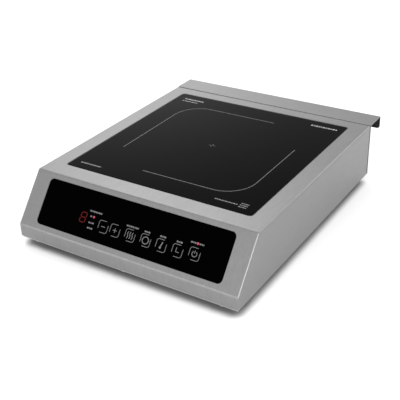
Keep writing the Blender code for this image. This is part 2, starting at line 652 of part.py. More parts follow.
# ---------------------------------------------------------------- coil stack
def coil_stack(copper, plastic, ferrite, mica, aluminium):
    """Insulating sheet, winding, carrier, ferrites and the tray they lie on."""
    centre = Vector((0, GLASS_CENTRE_Y, 0))
    mica_half = 124 * MM
    mica_shape = prism(rounded_rectangle(mica_half, mica_half, 10 * MM), MICA_TOP - MM, MICA_TOP)
    sheet = make("mica_sheet", mica_shape, mica, location=centre)
    sensor_hole = prism(circle(SENSOR_RADIUS + 4 * MM, 20), MICA_TOP - THROUGH, MICA_TOP + THROUGH)
    combine(sheet, helper("mica_hole", sensor_hole, location=centre))
    coil_bottom = COIL_TOP - COIL_THICKNESS
    soft = 0.8 * MM
    winding = turned([
        (COIL_INNER, coil_bottom + soft), (COIL_INNER + soft, coil_bottom),
        (COIL_OUTER - soft, coil_bottom), (COIL_OUTER, coil_bottom + soft),
        (COIL_OUTER, COIL_TOP - soft), (COIL_OUTER - soft, COIL_TOP),
        (COIL_INNER + soft, COIL_TOP), (COIL_INNER, COIL_TOP - soft),
    ], 36, ring=True)
    make("coil_winding", winding, copper, location=centre, smooth=True)

    low = CARRIER_TOP - CARRIER_THICKNESS
    bore, well, hub_wall = 2.5 * MM, 24 * MM, 27 * MM
    well_floor = SPRING_BASE - GAP
    well_bottom = well_floor - 1.7 * MM
    hub = turned([
        (bore, well_bottom), (hub_wall, well_bottom), (hub_wall, CARRIER_TOP), (well, CARRIER_TOP),
        (well, well_floor), (bore, well_floor),
    ], 32, ring=True)
    carrier = make("coil_carrier", hub, plastic, location=centre)
    rim_inner, rim_outer = 98 * MM, 104 * MM
    rim = turned([(rim_inner, low), (rim_outer, low), (rim_outer, CARRIER_TOP), (rim_inner, CARRIER_TOP)],
                 40, ring=True)
    combine(carrier, helper("carrier_rim", rim, location=centre), "UNION")
    arm_size = Vector((76 * MM, 18 * MM, CARRIER_THICKNESS - 0.2 * MM))
    arms = bmesh.new()
    for i in range(FERRITE_COUNT):
        spin = Matrix.Rotation(2 * math.pi * i / FERRITE_COUNT, 4, "Z")
        reach = Matrix.Translation((SPOKE_MIDDLE, 0, low + CARRIER_THICKNESS / 2))
        place = spin @ reach @ Matrix.Diagonal((*arm_size, 1))
        bmesh.ops.create_cube(arms, size=1, matrix=place)
    combine(carrier, helper("carrier_arms", arms, location=centre), "UNION")

    ferrite_z = low - GAP - FERRITE_SIZE.z / 2
    for i in range(FERRITE_COUNT):
        angle = 2 * math.pi * i / FERRITE_COUNT
        spoke = Vector((math.cos(angle) * SPOKE_MIDDLE, math.sin(angle) * SPOKE_MIDDLE, ferrite_z))
        make(f"ferrite_bar_{i + 1}", box(FERRITE_SIZE), ferrite, location=centre + spoke,
             rotation=(0, 0, angle))

    tray_half = Vector((119, 112)) * MM
    tray_sheet = 1.5 * MM
    tray_shape = prism(rounded_rectangle(*tray_half, 6 * MM, 3), TRAY_TOP - tray_sheet, TRAY_TOP)
    tray = make("coil_tray", tray_shape, aluminium, location=centre)
    holes = prism(circle(12 * MM, 16), TRAY_TOP - THROUGH, TRAY_TOP + THROUGH)
    prism(circle(4 * MM, 10, LEAD_HOLE), TRAY_TOP - THROUGH, TRAY_TOP + THROUGH, holes)
    combine(tray, helper("tray_holes", holes, location=centre))
    legs = bmesh.new()
    leg_base = PLATE_TOP + GAP
    leg_height = TRAY_TOP - leg_base - tray_sheet / 2
    leg_width = 16 * MM
    toe = 12 * MM
    for x in (-tray_half.x + 11 * MM, tray_half.x - 11 * MM):
        for end in (-1, 1):
            y = end * (tray_half.y - tray_sheet / 2)
            toe_y = y + end * (toe - tray_sheet) / 2
            box((leg_width, tray_sheet, leg_height), (x, y, leg_base + leg_height / 2), legs)
            box((leg_width, toe, tray_sheet), (x, toe_y, leg_base + tray_sheet / 2), legs)
    combine(tray, helper("tray_legs", legs, location=centre), "UNION")


def sensor(ceramic, spring_steel):
    """Spring-loaded temperature sensor in the middle of the coil, pressed up against the glass."""
    centre = Vector((0, GLASS_CENTRE_Y, 0))
    flange_bottom = SPRING_TOP + GAP
    glass_bottom = GLASS_TOP - GLASS_THICKNESS
    flange = 9 * MM
    flange_top = flange_bottom + 1.4 * MM
    chamfer = 0.6 * MM
    cap_top = glass_bottom - GAP
    cap = turned([
        (0, flange_bottom), (flange, flange_bottom), (flange, flange_top), (SENSOR_RADIUS, flange_top),
        (SENSOR_RADIUS, cap_top - chamfer), (SENSOR_RADIUS - chamfer, cap_top), (0, cap_top),
    ], 20)
    make("temperature_sensor", cap, ceramic, location=centre, smooth=True)
    turns = 2.5
    wire_radius = 0.6 * MM
    coil_radius = 7 * MM
    points_per_turn = 10
    total = int(turns * points_per_turn)
    rise = SPRING_TOP - SPRING_BASE - 2 * wire_radius
    route = []
    for i in range(total + 1):
        angle = 2 * math.pi * i / points_per_turn
        z = SPRING_BASE + wire_radius + rise * i / total
        route.append(centre + Vector((coil_radius * math.cos(angle), coil_radius * math.sin(angle), z)))
    spring = wire("sensor_spring", route, wire_radius, spring_steel)
    spring.data.bevel_resolution = 1


def coil_leads(silicone):
    """The two ends of the winding, down to the power board's posts."""
    routes = {
        "coil_lead_outer": (
            (94.3, -26.9, 79.6), (104, -30.5, 79.4), (114, -34, 78), (122, -37, 73.5), (126, -39.5, 66),
            (129, -42, 56), (134, -45, 48), (142, -47, 40), (146, -48, 31), (146.5, -48, 20.2),
        ),
        "coil_lead_inner": (
            (31.2, 25.4, 77.4), (31.2, 25.4, 72), (31.2, 25.4, 66.4), (33.5, 26.6, 62.2), (42, 31, 60.7),
            (62, 42, 60.6), (90, 55.5, 60.4), (99.5, 62.5, 56.5), (101, 66, 47), (101, 66.5, 34),
            (101, 66.5, 20.2),
        ),
    }
    for name, points in routes.items():
        corners = [Vector(p) * MM for p in points]
        wire(name, smooth_route(corners, 3), LEAD_RADIUS, silicone)


# ---------------------------------------------------------------- power board
def power_set(board_green, aluminium, dark, copper, film, cream):
    """The power board, its heat sink and its large components."""
    size = BOARD_HIGH - BOARD_LOW
    middle = (BOARD_HIGH + BOARD_LOW) / 2
    make("power_board", box((size.x, size.y, BOARD_THICKNESS)), board_green,
         location=(*middle, BOARD_BOTTOM + BOARD_THICKNESS / 2))

    sink_half_x = 45 * MM
    sink_half_y = 60 * MM
    fin_count = 11
    fin = 2 * MM
    base_low = 25.6 * MM
    base_high = 30 * MM
    fin_top = 57 * MM
    pitch = (2 * sink_half_y - fin) / (fin_count - 1)
    outline = [(-sink_half_y, base_low), (sink_half_y, base_low)]
    for i in reversed(range(fin_count)):
        left = -sink_half_y + pitch * i
        outline += [(left + fin, fin_top), (left, fin_top)]
        if i:
            outline += [(left, base_high), (left - pitch + fin, base_high)]
    sink = prism(outline, -sink_half_x, sink_half_x)
    bmesh.ops.transform(sink, matrix=STAND_UP, verts=sink.verts)
    make("heat_sink", sink, aluminium, location=(50 * MM, 0, 0))

    # (x, y) of the middle, (x, y) sizes and height, in millimetres
    packages = {
        "power_transistor": ((30, -22), (16, 21), 5),
        "bridge_rectifier": ((62, 18), (30, 20), 5),
        "resonance_capacitor": ((126, -66), (48, 24), 33),
        "standby_transformer": ((124, 52), (22, 19), 19),
    }
    finishes = {"resonance_capacitor": film, "standby_transformer": cream}
    for name, (place, footprint, height) in packages.items():
        half = Vector(footprint) / 2 * MM
        shape = prism(rounded_rectangle(*half, MM, 2), 0, height * MM)
        make(name, shape, finishes.get(name, dark), location=(*(Vector(place) * MM), PARTS_BASE))

    ring = turned([
        (9 * MM, 3 * MM), (11 * MM, 0), (18 * MM, 0), (20 * MM, 3 * MM), (20 * MM, 13 * MM),
        (18 * MM, 16 * MM), (11 * MM, 16 * MM), (9 * MM, 13 * MM),
    ], 24, ring=True)
    make("filter_choke", ring, copper, location=(126 * MM, 8 * MM, PARTS_BASE), smooth=True)
    can = turned([(0, 0), (8 * MM, 0), (8 * MM, 24 * MM), (7.4 * MM, 25 * MM), (0, 25 * MM)], 20)
    make("electrolytic_capacitor", can, dark, location=(120 * MM, 80 * MM, PARTS_BASE), smooth=True)
    place = (92 * MM, 142 * MM, 0)
    blocks = prism(rounded_rectangle(24 * MM, 9 * MM, MM, 2), PLATE_TOP + GAP, 30 * MM)
    terminal = make("terminal_block", blocks, cream, location=place)
    wells = bmesh.new()
    well_pitch = 15 * MM
    for x in (-well_pitch, 0, well_pitch):
        prism(circle(3 * MM, 10, (x, 0)), 22 * MM, 35 * MM, wells)
    combine(terminal, helper("terminal_wells", wells, location=place))


# ---------------------------------------------------------------- fan
def blade(shape, start_angle):
    """One twisted blade, from inside the hub's wall to the tip."""
    stations = 4
    across = 3
    layers = []
    half_thickness = 0.8 * MM
    root = FAN_HUB - 1.4 * MM
    for face in (1, -1):
        rows = []
        for i in range(stations + 1):
            share = i / stations
            radius = root + (FAN_TIP - root) * share
            pitch_angle = math.radians(42 - 18 * share)
            chord = (18 + 14 * share) * MM
            row = []
            for j in range(across + 1):
                along = (j / across - 0.5) * chord
                angle = start_angle + 0.25 * share + along * math.cos(pitch_angle) / radius
                camber = 1.2 * MM * math.cos(math.pi * (j / across - 0.5))
                z = 11.5 * MM + along * math.sin(pitch_angle) + camber + face * half_thickness
                row.append(shape.verts.new((radius * math.cos(angle), radius * math.sin(angle), z)))
            rows.append(row)
        layers.append(rows)
    upper, lower = layers
    for i in range(stations):
        for j in range(across):
            for rows in layers:
                shape.faces.new((rows[i][j], rows[i + 1][j], rows[i + 1][j + 1], rows[i][j + 1]))
    rim = [(i, 0) for i in range(stations)] + [(stations, j) for j in range(across)]
    rim += [(i, across) for i in range(stations, 0, -1)] + [(0, j) for j in range(across, 0, -1)]
    for (i, j), (k, m) in zip(rim, rim[1:] + rim[:1]):
        shape.faces.new((upper[i][j], upper[k][m], lower[k][m], lower[i][j]))


def fan(plastic, dark, copper):
    """Axial fan lying on the base plate. It draws air up through the plate's slots."""
    place = (*FAN_CENTRE, FAN_BASE)
    strut_low = 21.5 * MM
    half = FAN_SIZE / 2
    housing_shape = prism(rounded_rectangle(half, half, 6 * MM, 3), 0, FAN_DEPTH)
    frame = make("fan_frame", housing_shape, plastic, location=place)
    combine(frame, helper("fan_bore", prism(circle(FAN_BORE, 40), -THROUGH, strut_low), location=place))
    hub_plate = 20 * MM
    strut_half = 3 * MM
    windows = bmesh.new()
    window_steps = 8
    for quarter in range(4):
        middle = math.pi / 2 * quarter
        outer_reach = math.pi / 4 - math.asin(strut_half / FAN_BORE)
        inner_reach = math.pi / 4 - math.asin(strut_half / hub_plate)
        outline = []
        for radius, reach, order in ((FAN_BORE, outer_reach, 1), (hub_plate, inner_reach, -1)):
            for i in range(window_steps + 1):
                angle = middle + order * reach * (2 * i / window_steps - 1)
                outline.append((radius * math.cos(angle), radius * math.sin(angle)))
        prism(outline, strut_low - MM, FAN_DEPTH + THROUGH, windows)
    combine(frame, helper("fan_windows", windows, location=place))
    holes = bmesh.new()
    hole_reach = 52.5 * MM
    for x in (-hole_reach, hole_reach):
        for y in (-hole_reach, hole_reach):
            prism(circle(2.2 * MM, 10, (x, y)), -THROUGH, FAN_DEPTH + THROUGH, holes)
    combine(frame, helper("fan_corner_holes", holes, location=place))
    tube_radius = 4.5 * MM
    shaft_radius = 1.4 * MM
    tube = turned([(shaft_radius + GAP, 7 * MM), (tube_radius, 7 * MM), (tube_radius, strut_low + MM),
                   (shaft_radius + GAP, strut_low + MM)], 16, ring=True)
    combine(frame, helper("fan_bearing_tube", tube, location=place), "UNION")
    stator = turned([(tube_radius + GAP, 9 * MM), (13.5 * MM, 9 * MM), (13.5 * MM, 18 * MM),
                     (tube_radius + GAP, 18 * MM)], 18, ring=True)
    make("fan_stator", stator, copper, location=place, smooth=True)

    cup_wall = 2.5 * MM
    cup = turned([
        (0, 2 * MM), (FAN_HUB - MM, 2 * MM), (FAN_HUB, 3 * MM), (FAN_HUB, 20.6 * MM),
        (FAN_HUB - cup_wall, 20.6 * MM), (FAN_HUB - cup_wall, 4.5 * MM), (shaft_radius, 4.5 * MM),
        (shaft_radius, 20 * MM), (0, 20 * MM),
    ], 28)
    impeller = make("fan_impeller", cup, dark, location=place, smooth=True)
    blades = bmesh.new()
    for i in range(FAN_BLADES):
        blade(blades, 2 * math.pi * i / FAN_BLADES)
    combine(impeller, helper("fan_blades", blades, location=place), "UNION")


# ---------------------------------------------------------------- build
def build():
    for old in list(bpy.data.objects):
        bpy.data.objects.remove(old)

    brushed = finish("brushed_steel", (0.60, 0.60, 0.60), 0.35, 1.0)
    zinc = finish("zinc_steel", (0.52, 0.53, 0.54), 0.45, 1.0)
    aluminium = finish("aluminium", (0.70, 0.71, 0.72), 0.40, 1.0)
    black_glass = finish("black_glass", (0.012, 0.012, 0.013), 0.06)
    rubber = finish("rubber", (0.03, 0.03, 0.03), 0.75)
    dark_plastic = finish("dark_plastic", (0.05, 0.05, 0.05), 0.5)
    board_green = finish("board_green", (0.03, 0.20, 0.08), 0.5)
    copper = finish("copper", (0.72, 0.38, 0.20), 0.35, 1.0)
    ferrite = finish("ferrite", (0.08, 0.08, 0.09), 0.6)
    mica = finish("mica", (0.62, 0.58, 0.48), 0.6)
    film = finish("film_yellow", (0.75, 0.60, 0.12), 0.45)
    cream = finish("cream_plastic", (0.78, 0.76, 0.68), 0.5)
    red = finish("red_lamp", (0.75, 0.05, 0.05), 0.3)

    slope = slope_frame()
    bpy.context.view_layer.update()
    housing(brushed, slope)
    rear_wall(brushed)
    base_plate(zinc)
    feet(rubber)
    screws(zinc)
    gland(dark_plastic, rubber)
    glass_set(black_glass, rubber, zinc)
    control_set(slope, black_glass, dark_plastic, board_green, rubber, red, dark_plastic)
    ribbon(cream)
    coil_stack(copper, dark_plastic, ferrite, mica, aluminium)
    sensor(cream, zinc)
    coil_leads(red)
    power_set(board_green, aluminium, dark_plastic, copper, film, cream)
    fan(dark_plastic, dark_plastic, copper)


build()
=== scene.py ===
"""Looks of a countertop induction hob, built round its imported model.

Sizes are in metres in the model's frame: +X to the right, +Y to the rear, +Z up.
"""

import math

import bmesh
import bpy
from mathutils import Matrix, Vector


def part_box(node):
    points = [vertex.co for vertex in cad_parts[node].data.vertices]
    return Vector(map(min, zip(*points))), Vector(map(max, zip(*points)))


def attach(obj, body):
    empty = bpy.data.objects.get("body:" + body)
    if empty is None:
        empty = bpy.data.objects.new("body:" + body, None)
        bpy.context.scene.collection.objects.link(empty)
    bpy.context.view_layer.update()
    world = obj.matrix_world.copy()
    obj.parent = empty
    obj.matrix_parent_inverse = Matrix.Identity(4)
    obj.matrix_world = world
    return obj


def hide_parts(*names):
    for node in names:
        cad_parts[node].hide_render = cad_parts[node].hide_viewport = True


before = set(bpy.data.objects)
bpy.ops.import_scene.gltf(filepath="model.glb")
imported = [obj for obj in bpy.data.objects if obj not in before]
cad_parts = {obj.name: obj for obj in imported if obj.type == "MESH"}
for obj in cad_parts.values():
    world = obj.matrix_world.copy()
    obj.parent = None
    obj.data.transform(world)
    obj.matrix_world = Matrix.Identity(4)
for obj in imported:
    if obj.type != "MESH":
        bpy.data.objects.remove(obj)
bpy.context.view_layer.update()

MM = 0.001
BODY = "chassis"

# ---------------------------------------------------------------- sizes that the pieces share
CASE_LOW, CASE_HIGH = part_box("top_housing")
REAR_LOW, REAR_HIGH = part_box("rear_panel")
GLASS_LOW, GLASS_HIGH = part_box("glass_top")
PLATE_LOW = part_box("base_plate")[0]
HALF_WIDTH = CASE_HIGH.x
FRONT = CASE_LOW.y
BASE = CASE_LOW.z
TOP = CASE_HIGH.z
CASE_REAR = CASE_HIGH.y
SHEET = 1.0 * MM
BEND = 2.0 * MM
BEND_STEPS = 8
HOOD_FOLD = 1.2 * MM  # outer radius of the fold from the rear wall into the hood
HOOD_LIP = 19.4 * MM
LIP_CORNER = 4 * MM  # radius of the lip's lower corners
RIM = 12 * MM  # width of the inward rims
TOP_LIP = 4 * MM  # what the top's rear edge folds down
GAP = 0.3 * MM  # between pieces that rest on each other
EASE = 0.22 * MM  # how much the sheets' cut edges are rounded
REACH = 5 * MM  # how far a cutter runs past the sheet
WALL = REAR_LOW.y + RIM  # the rear wall's outer face
APRON_TOP = BASE + 18.4 * MM
SLOPE_RUN = 48.4 * MM
SLOPE_ANGLE = math.atan2(TOP - APRON_TOP, SLOPE_RUN)
SLOPE = Matrix.Translation((0, FRONT, APRON_TOP)) @ Matrix.Rotation(SLOPE_ANGLE, 4, "X")

GLASS_CENTRE = Vector((0, (GLASS_LOW.y + GLASS_HIGH.y) / 2, 0))
GLASS_HALF = Vector(((GLASS_HIGH.x - GLASS_LOW.x) / 2, (GLASS_HIGH.y - GLASS_LOW.y) / 2))
GLASS_INSET = 1.6 * MM
GLASS_CUT_HALF = GLASS_HALF + Vector((GLASS_INSET, GLASS_INSET))
GLASS_CORNER = 5.5 * MM
WINDOW_HALF = Vector((139.5 * MM, 31.1 * MM))
WINDOW_CENTRE = 39.1 * MM
WINDOW_CORNER = 6.5 * MM
WINDOW_GAP = 0.4 * MM
WINDOW_RECESS = 0.5 * MM
WINDOW_THICKNESS = 2.5 * MM
CORNER_STEPS = 12

SCREW_HOLE = 1.9 * MM
BASE_SCREWS = [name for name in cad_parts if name.startswith("base_screw")]
REAR_SCREWS = [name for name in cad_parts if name.startswith("rear_screw")]


def middle(node):
    """The centre of a node's box."""
    low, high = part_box(node)
    return (low + high) / 2


# ---------------------------------------------------------------- mesh helpers
def make(name, shape, materials, place=None, smooth=True):
    """Turns a bmesh into a named object whose mesh is already in place."""
    bmesh.ops.recalc_face_normals(shape, faces=shape.faces)
    if place is not None:
        bmesh.ops.transform(shape, matrix=place, verts=shape.verts)
    mesh = bpy.data.meshes.new(name)
    shape.to_mesh(mesh)
    shape.free()
    for material in materials:
        mesh.materials.append(material)
    if smooth:
        mesh.shade_smooth()
        mesh.set_sharp_from_angle(angle=math.radians(30))
    piece = bpy.data.objects.new(name, mesh)
    bpy.context.scene.collection.objects.link(piece)
    return piece


def cut(piece, shape, place=None, operation="DIFFERENCE", crossing=False):
    """Cuts the piece with a bmesh, or joins it. Crossing is for shapes that overlap themselves."""
    cutter = make("cutter", shape, [], place, smooth=False)
    modifier = piece.modifiers.new("cut", "BOOLEAN")
    modifier.operation = operation
    modifier.object = cutter
    modifier.use_self = crossing
    apply_modifiers(piece)
    bpy.data.objects.remove(cutter)


def apply_modifiers(piece):
    """Replaces the piece's mesh with what its modifiers make of it."""
    graph = bpy.context.evaluated_depsgraph_get()
    mesh = bpy.data.meshes.new_from_object(piece.evaluated_get(graph))
    piece.modifiers.clear()
    piece.data = mesh


def ease_edges(piece, width, steps=2, angle=50):
    """Rounds the edges sharper than the angle, and keeps the flat faces flat in their shading."""
    bevel = piece.modifiers.new("eased", "BEVEL")
    bevel.width = width
    bevel.segments = steps
    bevel.limit_method = "ANGLE"
    bevel.angle_limit = math.radians(angle)
    bevel.use_clamp_overlap = True
    apply_modifiers(piece)
    piece.data.shade_smooth()
    piece.data.set_sharp_from_angle(angle=math.radians(40))
    weighted = piece.modifiers.new("weighted", "WEIGHTED_NORMAL")
    weighted.keep_sharp = True
    weighted.weight = 100
    apply_modifiers(piece)


def prism(outline, low, high, into=None):
    """A flat outline of (x, y) points, extruded from z low to z high."""
    shape = into or bmesh.new()
    base = shape.faces.new([shape.verts.new((x, y, low)) for x, y in outline])
    grown = bmesh.ops.extrude_face_region(shape, geom=[base])["geom"]
    upper = [v for v in grown if isinstance(v, bmesh.types.BMVert)]
    bmesh.ops.translate(shape, vec=(0, 0, high - low), verts=upper)
    return shape


def box(low, high, into=None):
    """A box between two corners."""
    shape = into or bmesh.new()
    low, high = Vector(low), Vector(high)
    place = Matrix.Translation((low + high) / 2) @ Matrix.Diagonal((*(high - low), 1))
    bmesh.ops.create_cube(shape, size=1, matrix=place)
    return shape


def circle(radius, steps, centre=(0, 0), phase=0.0):
    """Points round a circle."""
    angles = [phase + 2 * math.pi * i / steps for i in range(steps)]
    return [(centre[0] + radius * math.cos(a), centre[1] + radius * math.sin(a)) for a in angles]


def rounded_rectangle(half, radius, steps=CORNER_STEPS, centre=(0, 0)):
    """Points round a rectangle with arcs at its corners."""
    points = []
    for quarter, (sign_x, sign_y) in enumerate(((1, 1), (-1, 1), (-1, -1), (1, -1))):
        x = centre[0] + sign_x * (half[0] - radius)
        y = centre[1] + sign_y * (half[1] - radius)
        for i in range(steps + 1):
            angle = math.pi / 2 * (quarter + i / steps)
            points.append((x + radius * math.cos(angle), y + radius * math.sin(angle)))
    return points


def turned(profile, steps):
    """A profile of (radius, z) points spun about Z."""
    shape = bmesh.new()
    points = [shape.verts.new((radius, 0, z)) for radius, z in profile]
    edges = [shape.edges.new(pair) for pair in zip(points, points[1:])]
    bmesh.ops.spin(
        shape, geom=points + edges, axis=(0, 0, 1), cent=(0, 0, 0), angle=2 * math.pi, steps=steps,
        use_merge=True,
    )
    bmesh.ops.remove_doubles(shape, verts=shape.verts, dist=1e-7)
    return shape


def frame_ring(half, corner, profile, steps=CORNER_STEPS):
    """A frame whose section of (offset outward, z) points runs round a rounded rectangle."""
    shape = bmesh.new()
    loops = []
    for offset, z in profile:
        radius = max(corner + offset, 0.5 * MM)
        outline = rounded_rectangle((half[0] + offset, half[1] + offset), radius, steps)
        loops.append([shape.verts.new((x, y, z)) for x, y in outline])
    for loop, following in zip(loops, loops[1:] + loops[:1]):
        for i in range(len(loop)):
            j = (i + 1) % len(loop)
            shape.faces.new((loop[i], loop[j], following[j], following[i]))
    return shape


STAND_UP = Matrix(((0, 0, 1), (1, 0, 0), (0, 1, 0))).to_4x4()  # takes (y, z) outlines to the YZ plane


def sheet_along(path, thickness, half_width):
    """A sheet that follows a path of (y, z) points."""
    left, right = [], []
    for i, point in enumerate(path):
        before = Vector(path[max(i - 1, 0)])
        after = Vector(path[min(i + 1, len(path) - 1)])
        along = (after - before).normalized()
        across = Vector((-along.y, along.x)) * thickness / 2
        left.append(Vector(point) + across)
        right.append(Vector(point) - across)
    shape = prism([(p.x, p.y) for p in left + right[::-1]], -half_width, half_width)
    bmesh.ops.transform(shape, matrix=STAND_UP, verts=shape.verts)
    return shape


def arc(centre, radius, start, end, steps):
    """Points along an arc, with its angles in degrees."""
    angles = [math.radians(start + (end - start) * i / steps) for i in range(steps + 1)]
    return [(centre[0] + radius * math.cos(a), centre[1] + radius * math.sin(a)) for a in angles]


def stroke(shape, points, width, low, high, closed=False):
    """A flat line of that width along points, between two heights, added to a bmesh."""
    count = len(points)
    rails = []
    for i, point in enumerate(points):
        if closed:
            before, after = points[i - 1], points[(i + 1) % count]
        else:
            before, after = points[max(i - 1, 0)], points[min(i + 1, count - 1)]
        along = (Vector(after) - Vector(before)).normalized()
        across = Vector((-along.y, along.x)) * width / 2
        rails.append((Vector(point) + across, Vector(point) - across))
    if closed:
        rows = [
            [shape.verts.new((p.x, p.y, z)) for p in rail for z in (low, high)] for rail in rails
        ]
        for row, following in zip(rows, rows[1:] + rows[:1]):
            for a, b in ((0, 1), (1, 3), (3, 2), (2, 0)):
                shape.faces.new((row[a], row[b], following[b], following[a]))
        return
    outline = [(a.x, a.y) for a, _ in rails] + [(b.x, b.y) for _, b in reversed(rails)]
    prism(outline, low, high, shape)


# ---------------------------------------------------------------- materials
class Surface:
    """A Principled material, with helpers that drive its sockets from procedural textures."""

    def __init__(self, name, colour, roughness, metallic=0.0):
        self.material = bpy.data.materials.new(name)
        self.material.use_nodes = True
        self.tree = self.material.node_tree
        self.shader = self.tree.nodes["Principled BSDF"]
        self.colour = colour
        self.roughness = roughness
        self.shader.inputs["Base Color"].default_value = (*colour, 1)
        self.shader.inputs["Roughness"].default_value = roughness
        self.shader.inputs["Metallic"].default_value = metallic
        self.colour_out = None
        self.rough_out = None
        self.normal_out = None

    def add(self, kind, **values):
        node = self.tree.nodes.new(kind)
        for key, value in values.items():
            setattr(node, key, value)
        return node

    def link(self, out, into):
        self.tree.links.new(out, into)

    def position(self, stretch):
        """Object coordinates multiplied by how many cycles a metre each axis has."""
        coordinates = self.add("ShaderNodeTexCoord").outputs["Object"]
        return self.scaled(coordinates, stretch)

    def scaled(self, vector, stretch):
        node = self.add("ShaderNodeVectorMath", operation="MULTIPLY")
        self.link(vector, node.inputs[0])
        node.inputs[1].default_value = stretch
        return node.outputs[0]

    def noise(self, vector, detail=3.0, roughness=0.55):
        node = self.add("ShaderNodeTexNoise")
        node.inputs["Scale"].default_value = 1.0
        node.inputs["Detail"].default_value = detail
        node.inputs["Roughness"].default_value = roughness
        self.link(vector, node.inputs["Vector"])
        return node.outputs["Fac"]

    def ranged(self, value, low, high, start=0.3, end=0.7):
        """The value mapped from start..end to low..high."""
        node = self.add("ShaderNodeMapRange")
        self.link(value, node.inputs["Value"])
        node.inputs["From Min"].default_value = start
        node.inputs["From Max"].default_value = end
        node.inputs["To Min"].default_value = low
        node.inputs["To Max"].default_value = high
        return node.outputs["Result"]

    def vary_colour(self, value, spread, start=0.3, end=0.7):
        """Darkens and lightens the colour by the spread."""
        share = self.ranged(value, 1 - spread, 1 + spread, start, end)
        node = self.add("ShaderNodeVectorMath", operation="SCALE")
        if self.colour_out is None:
            node.inputs[0].default_value = self.colour
        else:
            self.link(self.colour_out, node.inputs[0])
        self.link(share, node.inputs["Scale"])
        self.colour_out = node.outputs[0]

    def shade(self, value, start, end, darkest):
        """Paints shade into the colour: darkens it to its darkest share where the value falls from end to
        start.
        """
        node = self.add("ShaderNodeVectorMath", operation="SCALE")
        self.link(self.colour_out, node.inputs[0])
        self.link(self.ranged(value, darkest, 1, start, end), node.inputs["Scale"])
        self.colour_out = node.outputs[0]

    def shelter(self, reach):
        """The share of a spot's outlook that is open out to that reach."""
        node = self.add("ShaderNodeAmbientOcclusion", samples=24)
        node.inputs["Distance"].default_value = reach
        return node.outputs["AO"]

    def mix_colour(self, value, colour, start=0.5, end=0.6):
        """Mixes another colour in where the value passes from start to end."""
        node = self.add("ShaderNodeMix", data_type="RGBA")
        self.link(self.ranged(value, 0, 1, start, end), node.inputs[0])
        if self.colour_out is None:
            node.inputs[6].default_value = (*self.colour, 1)
        else:
            self.link(self.colour_out, node.inputs[6])
        node.inputs[7].default_value = (*colour, 1)
        self.colour_out = node.outputs[2]

    def vary_roughness(self, value, spread, start=0.3, end=0.7):
        """Adds up to the spread to the roughness, or takes it away."""
        change = self.ranged(value, -spread, spread, start, end)
        node = self.add("ShaderNodeMath", operation="ADD")
        if self.rough_out is None:
            node.inputs[0].default_value = self.roughness
        else:
            self.link(self.rough_out, node.inputs[0])
        self.link(change, node.inputs[1])
        self.rough_out = node.outputs[0]

    def bump(self, value, height, strength=1.0):
        """Raises the surface where the value is high, by the height."""
        node = self.add("ShaderNodeBump")
        node.inputs["Strength"].default_value = strength
        node.inputs["Distance"].default_value = height
        self.link(value, node.inputs["Height"])
        if self.normal_out is not None:
            self.link(self.normal_out, node.inputs["Normal"])
        self.normal_out = node.outputs["Normal"]

    def done(self):
        for out, name in (
            (self.colour_out, "Base Color"), (self.rough_out, "Roughness"), (self.normal_out, "Normal")
        ):
            if out is not None:
                self.link(out, self.shader.inputs[name])
        return self.material


def brushed_steel(name, colour):
    """Sheet steel brushed from front to rear, so that its grain also runs along the sides."""
    steel = Surface(name, colour, 0.42, 1.0)
    coordinates = steel.add("ShaderNodeTexCoord").outputs["Object"]
    normal = steel.add("ShaderNodeNewGeometry").outputs["Normal"]
    split = steel.add("ShaderNodeSeparateXYZ")
    steel.link(normal, split.inputs[0])
    sideways = steel.add("ShaderNodeMath", operation="ABSOLUTE")
    steel.link(split.outputs["X"], sideways.inputs[0])
    on_side = steel.add("ShaderNodeMath", operation="GREATER_THAN")
    steel.link(sideways.outputs[0], on_side.inputs[0])
    on_side.inputs[1].default_value = 0.7

    def grain(across, along):
        pick = steel.add("ShaderNodeMix", data_type="VECTOR")
        steel.link(on_side.outputs[0], pick.inputs[0])
        steel.link(steel.scaled(coordinates, (across, along, along)), pick.inputs[4])
        steel.link(steel.scaled(coordinates, (along, along, across)), pick.inputs[5])
        return steel.noise(pick.outputs[1], 4)

    fine = grain(1500, 170)
    coarse = grain(420, 60)
    cloud = steel.noise(steel.position((9, 9, 9)), 2)
    steel.vary_colour(fine, 0.08)
    steel.vary_colour(coarse, 0.04)
    steel.vary_colour(cloud, 0.02)
    steel.vary_roughness(fine, 0.06)
    steel.vary_roughness(cloud, 0.03)
    steel.bump(fine, 0.012 * MM)
    return steel.done()


def speckled(name, colour, roughness, metallic=0.0, grain=600.0, spread=0.08, height=0.02 * MM):
    """Moulded or cast stuff: fine speckle in colour, roughness and height, over soft clouds."""
    stuff = Surface(name, colour, roughness, metallic)
    fine = stuff.noise(stuff.position((grain, grain, grain)), 3)
    cloud = stuff.noise(stuff.position((25, 25, 25)), 2)
    stuff.vary_colour(fine, spread)
    stuff.vary_colour(cloud, spread / 2)
    stuff.vary_roughness(fine, 0.06)
    stuff.vary_roughness(cloud, 0.04)
    stuff.bump(fine, height)
    return stuff.done()


def black_glass(name, colour, roughness, reflectance):
    """Polished black glass with faint wiping marks in its gloss."""
    glass = Surface(name, colour, roughness)
    wipes = glass.noise(glass.position((14, 40, 14)), 4, 0.6)
    dust = glass.noise(glass.position((1300, 1300, 1300)), 2)
    glass.vary_roughness(wipes, 0.025)
    glass.mix_colour(dust, [4 * c for c in colour], 0.72, 0.80)
    glass.shader.inputs["Specular IOR Level"].default_value = reflectance
    return glass.done()


def printed_ink(name, colour, roughness=0.45):
    """Fired or printed ink with a slightly uneven edge and density."""
    ink = Surface(name, colour, roughness)
    ink.vary_colour(ink.noise(ink.position((2200, 2200, 2200)), 2), 0.12)
    ink.vary_roughness(ink.noise(ink.position((400, 400, 400)), 2), 0.06)
    return ink.done()


